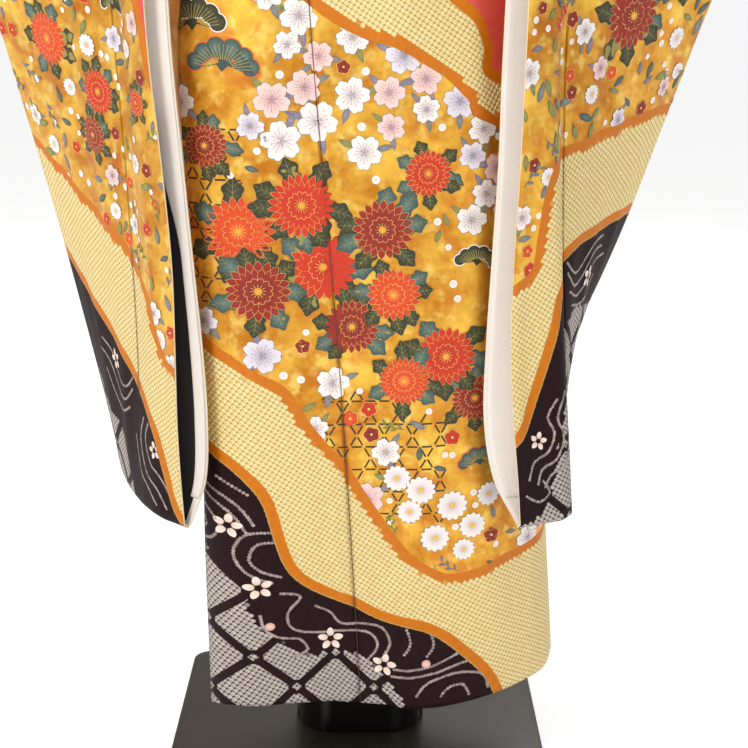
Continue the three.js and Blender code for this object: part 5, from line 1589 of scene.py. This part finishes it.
# drifts of large flowers, falling from the upper right to the lower middle
for i, (x, z, r, tone) in enumerate((
        (-100, 588, 31, "orange"), (-46, 612, 29, "vermilion"), (-84, 534, 28, "red"), (-28, 556, 30, "vermilion"), (26, 590, 27, "red"),
        (36, 530, 24, "orange"), (-2, 500, 25, "red"), (84, 470, 28, "vermilion"), (46, 448, 23, "orange"), (112, 428, 22, "red"),
        (-128, 664, 20, "red"), (66, 640, 21, "vermilion"))):
    bouquet(front, rnd, (x, z), r, tone, H0 + 0.36 * (i % 3), 7)
    spots.append((x, z, r * 1.5))
for i, (x, z, s, t, tone, rim) in enumerate((
        (-128, 812, 33, 0.1, "green", srgb(250, 246, 232)), (-112, 738, 31, -0.1, "teal", srgb(230, 96, 40)), (-140, 772, 30, 0.05, "green", srgb(250, 246, 232)),
        (112, 560, 20, -0.15, "green", srgb(250, 246, 232)), (118, 366, 20, 0.1, "teal", srgb(230, 96, 40)))):
    pine(front, (x, z), s, t, BASE + 0.3, tone, rim)
    spots.append((x, z, s * 1.2))
in_gold = gold_inside(BODY_CURVES, 3)
lattice(front, (28, 372), 60, 66, 13, BASE + 0.22, lambda m: in_gold(m) and m[1] < 432 - (m[0] - 28) * 0.5)
lattice(front, (-128, 600), 34, 84, 13, BASE + 0.22, lambda m: in_gold(m))
for x, z, r in ((40, 352, 13), (62, 340, 14), (52, 318, 12), (92, 322, 15), (112, 300, 13), (76, 290, 14), (104, 276, 11), (128, 330, 12)):
    daisy(front, (x, z), r, rnd.uniform(0, 1), BASE + 0.45 + 0.08 * (x % 3))
    spots.append((x, z, r))
spots = scatter_gold(front, rnd, spots, ((-190, 190), (590, 880)), in_gold, -2.5, [("cherry", 16), ("cherry", 15), ("cherry", 14)], 5000)
scatter_gold(front, rnd, spots, ((-190, 190), (250, 880)), in_gold, 0.0,
             [("cherry", 17), ("cherry", 16), ("cherry", 15), ("cherry", 14), ("bud", 3.4), ("leaf", 6.5), ("plum", 7.5), ("spray", 11)])
water = Dye()
WATER = [
    [(-150, 352), (-126, 340), (-104, 326), (-92, 308)], [(-150, 342), (-128, 331), (-108, 316), (-98, 300)],
    [(-150, 330), (-132, 320), (-118, 304), (-126, 288), (-146, 284)], [(-150, 316), (-136, 310), (-130, 300), (-140, 293)],
    [(-74, 300), (-98, 298), (-108, 278), (-98, 258), (-78, 248)], [(-74, 290), (-90, 288), (-96, 272), (-86, 260), (-70, 254)],
    [(-70, 236), (-52, 232), (-64, 214), (-60, 196), (-36, 190), (-8, 192), (14, 190), (22, 176), (12, 160)],
    [(-38, 220), (-24, 212), (-14, 200), (8, 200), (26, 196), (34, 180), (26, 162)],
    [(-88, 212), (-84, 196), (-70, 186), (-54, 184), (-46, 172), (-58, 164)],
    [(50, 196), (54, 182), (48, 170)], [(74, 190), (76, 178), (70, 168)], [(38, 152), (70, 156), (104, 168), (122, 172)],
    [(36, 144), (70, 148), (106, 156), (138, 158)], [(60, 126), (72, 140), (100, 146), (126, 138), (132, 122)],
    [(84, 124), (92, 132), (106, 132), (112, 120)], [(-112, 392)[0:2], (-120, 352), (-96, 338)][1:],
]
for path in WATER:
    if len(path) > 1:
        dotted_water(water, path, BASE + 0.35, rnd, 1, 1.75)
for x, z, r in ((-112, 305, 12.5), (-89, 243, 13), (-24, 182, 13), (28, 156, 12.5)):
    shibori_plum(water, (x, z), r, rnd.uniform(1.2, 1.9), BASE + 0.45)
for x, z in ((-80, 200), (69, 160)):
    o = [(math.cos(t) * 4.4, math.sin(t) * 4.4) for t in np.linspace(0, 2 * math.pi, 13)[:-1]]
    water.blob(turned(o, 0, (x, z)), (x, z), BASE + 0.45, srgb(246, 206, 196), srgb(214, 160, 150))
motif_mesh("front_motifs", front, OUTER, [(BODY_CURVES["B"], False, 4.8), (BODY_CURVES["C"], True, 4.8)], KEEP["front_left"])
motif_mesh("front_water", water, OUTER, [(BODY_CURVES["D"], False, 5.2)], KEEP["okumi_left"])
# a thin dark ribbon along the okumi seam: painted shadow of the seam's crease
seam_shadow_line = Dye()
zz = np.arange(HEM_Z + 0.5, 884, 5.0)
seam_shadow_line.line(np.column_stack([seam_u(zz), zz]), 0.75, BASE + 1.25, srgb(70, 36, 12))
motif_mesh("okumi_seam_painted_shadow", seam_shadow_line, OUTER, [], KEEP["okumi_left"])

# the back and the wearer's left side carry the same flowers, more thinly
back = Dye()
rnd = random.Random(23)
U0 = float(u_of(2.0, 500))
spots = []
for i, (du, z, r, tone) in enumerate(((-150, 520, 24, "vermilion"), (-104, 560, 20, "red"), (-60, 512, 22, "orange"), (20, 570, 24, "vermilion"), (70, 610, 20, "red"), (110, 560, 22, "orange"), (-210, 470, 20, "red"), (170, 640, 22, "vermilion"))):
    bouquet(back, rnd, (U0 + du, z), r, tone, H0 + 0.36 * (i % 3), 7)
    spots.append((U0 + du, z, r * 1.35))
in_back = gold_inside(BODY_CURVES, 3)
scatter_gold(back, rnd, spots, ((float(u_of(1.02, 500)), float(u_of(2.95, 500))), (300, 800)), in_back, 3.0,
             [("cherry", 14.5), ("cherry", 13), ("cherry", 12), ("bud", 3.4), ("leaf", 6.5), ("plum", 8), ("spray", 10)])
motif_mesh("back_motifs", back, BACKP, [(BODY_CURVES["B"], False, 4.8), (BODY_CURVES["C"], True, 4.8)], KEEP["back_left"])
bw = Dye()
for base_p, z0 in ((1.25, 150), (1.5, 190), (1.8, 238), (2.1, 232), (2.4, 222), (2.7, 250), (2.9, 290)):
    u = float(u_of(base_p, z0))
    dotted_water(bw, [(u - 34, z0 + 6), (u - 12, z0 + 14), (u + 8, z0 + 4), (u + 26, z0 - 8), (u + 46, z0)], BASE + 0.35, rnd, 1, 1.6)
    dotted_water(bw, [(u - 30, z0 - 6), (u - 10, z0 + 2), (u + 8, z0 - 6), (u + 22, z0 - 18), (u + 30, z0 - 30), (u + 18, z0 - 34)], BASE + 0.35, rnd, 1, 1.6)
    shibori_plum(bw, (u + 2, z0 + 22 if base_p > 1.6 else z0 - 18), 12, 1.4, BASE + 0.45)
motif_mesh("back_water", bw, BACKP, [(BODY_CURVES["D"], False, 5.2)], KEEP["back_right"])


# ------------------------------------------------------------------ motifs on the sleeves
def sleeve_patch(g, layer):
    G = g[layer].copy()
    N = grid_normals(G) * (1 if layer == "F" else -1)
    if g["side"] < 0:
        G[..., 0] *= -1
        N[..., 0] *= -1
    rows = slice(1, int(np.searchsorted(g["w"], 1085)))
    return Patch(g["S"][rows], g["w"][rows], G[rows], N[rows])


def sleeve_motifs(name, g, curves, layer, seed, big, parent, pines=(), waters=(), plums=()):
    d, w = Dye(), Dye()
    rnd = random.Random(seed)
    spots = []
    for i, (s, z, r, tone) in enumerate(big):
        bouquet(d, rnd, (s, z), r, tone, BASE + 0.45 + 0.36 * (i % 2), 8)
        spots.append((s, z, r * 1.35))
    for s, z, size, tone in pines:
        pine(d, (s, z), size, 0.1, BASE + 0.3, tone)
        spots.append((s, z, size))
    scatter_gold(d, rnd, spots, ((2, 250), (440, 900)), gold_inside(curves, 3, "C", "A"), 1.0,
                 [("cherry", 12), ("cherry", 11), ("daisy", 9), ("bud", 3.0), ("leaf", 6.5), ("leaf", 8), ("spray", 11), ("plum", 7)])
    patch = sleeve_patch(g, layer)
    motif_mesh(name + "_motifs", d, patch, [(curves["A"], False, 4.8), (curves["C"], True, 4.8)], parent)
    for path in waters:
        dotted_water(w, path, BASE + 0.35, rnd, 1, 1.6)
    for s, z, r in plums:
        shibori_plum(w, (s, z), r, 1.3, BASE + 0.45)
    if waters:
        motif_mesh(name + "_water", w, patch, [(curves["D"], False, 5.2)], parent)


WL = [[(12, 356), (20, 372), (36, 380), (44, 398), (38, 414), (48, 430)], [(22, 350), (28, 364), (44, 372), (54, 394), (48, 412), (58, 436)],
      [(30, 346), (38, 358), (54, 366), (64, 392)], [(8, 340), (22, 332), (34, 340), (28, 352)],
      [(96, 548), (112, 536), (130, 540), (150, 556), (176, 560)], [(98, 538), (114, 524), (134, 528), (152, 546), (178, 550)],
      [(104, 520), (126, 512), (146, 520), (166, 536), (190, 540)], [(112, 506), (136, 502), (156, 508), (176, 522)]]
WR = [[(14, 330), (30, 350), (50, 362), (60, 384), (52, 400)], [(24, 322), (38, 338), (60, 350), (72, 380), (64, 402)],
      [(40, 322), (56, 334), (74, 346), (86, 380)], [(90, 436), (106, 424), (124, 430), (140, 452), (160, 462)],
      [(92, 424), (110, 410), (130, 416), (148, 440), (166, 450)], [(100, 404), (120, 396), (140, 404), (160, 430)]]
sleeve_motifs("sleeve_left_front", GL, SLEEVE_CURVES["L"], "F", 31, [(150, 762, 30, "red"), (206, 800, 22, "vermilion"), (112, 812, 18, "orange")], KEEP["sleeve_left"], [], WL, [(26, 392, 9.5), (150, 526, 11)])
sleeve_motifs("sleeve_right_front", GR, SLEEVE_CURVES["R"], "F", 37, [(96, 700, 20, "vermilion"), (112, 660, 17, "red"), (160, 740, 24, "orange"), (26, 700, 12, "vermilion")], KEEP["sleeve_right"], [(60, 780, 16, "green")], WR, [(40, 376, 9.5), (130, 446, 11)])
sleeve_motifs("sleeve_left_back", GL, SLEEVE_CURVES["L"], "B", 41, [(140, 740, 26, "vermilion"), (190, 790, 22, "red")], KEEP["sleeve_left"], [], WL[4:], [(150, 526, 11)])
sleeve_motifs("sleeve_right_back", GR, SLEEVE_CURVES["R"], "B", 43, [(130, 700, 24, "red"), (180, 760, 22, "vermilion")], KEEP["sleeve_right"], [], WR[3:], [(130, 446, 11)])

# ------------------------------------------------------------------ declarations
for node, ob in KEEP.items():
    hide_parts(node)
    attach(ob, "root")
for ob in TRIMS:
    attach(ob, "root")


# ------------------------------------------------------------------ floor, lights, camera
def stage_paint(name, colour, glow):
    p = Paint(name)
    c = p.mix(p.math("MULTIPLY", p.noise(p.object_space(), 3, 2), 0.15), colour, tuple(x * 0.97 for x in colour))
    p.set(Base_Color=c, Roughness=0.7, Emission_Color=(1.0, 1.0, 1.0), Emission_Strength=glow)
    return p.m


fm = bpy.data.meshes.new("floor")
R = 40.0
ring = [(R * math.cos(a), R * math.sin(a), -0.0004) for a in np.linspace(0, 2 * math.pi, 65)[:-1]]
fm.from_pydata([(0, 0, -0.0004)] + ring, [], [(0, 1 + i, 1 + (i + 1) % 64) for i in range(64)])
floor = bpy.data.objects.new("floor", fm)
fm.materials.append(stage_paint("floor_paint", (0.88, 0.88, 0.88), 0.60))
bpy.context.scene.collection.objects.link(floor)


def area_light(name, place, target, size, energy, colour=(1, 1, 1)):
    l = bpy.data.lights.new(name, "AREA")
    l.shape, l.size, l.energy, l.color = "DISK", size, energy, colour
    o = bpy.data.objects.new(name, l)
    o.location = place
    d = np.array(target, float) - np.array(place, float)
    d /= np.linalg.norm(d)
    o.rotation_euler = (math.acos(-d[2]), 0, math.atan2(d[1], d[0]) - math.pi / 2)
    bpy.context.scene.collection.objects.link(o)
    return o


area_light("key", (-1.5, -2.0, 2.3), (0, 0, 0.6), 1.0, 46, (1.0, 0.96, 0.90))
area_light("fill", (1.9, -1.9, 1.3), (0, 0, 0.6), 1.6, 9, (1.0, 0.98, 0.95))
area_light("rim", (0.6, 2.3, 2.4), (0, 0, 0.8), 1.6, 18, (1.0, 1.0, 1.0))
world = bpy.data.worlds.new("world")
world.use_nodes = True
world.node_tree.nodes["Background"].inputs[0].default_value = (1, 1, 1, 1)
world.node_tree.nodes["Background"].inputs[1].default_value = 0.36
bpy.context.scene.world = world
bpy.context.scene.view_settings.view_transform = "Standard"

cam = bpy.data.cameras.new("camera")
cam.sensor_width, cam.lens = 36.0, 70.12
cam.clip_end = 200
cam.dof.use_dof = False
co = bpy.data.objects.new("camera", cam)
co.location = (0.0183, -1.430, 0.822)
co.rotation_euler = (math.radians(74.2), 0, 0)
bpy.context.scene.collection.objects.link(co)
bpy.context.scene.camera = co
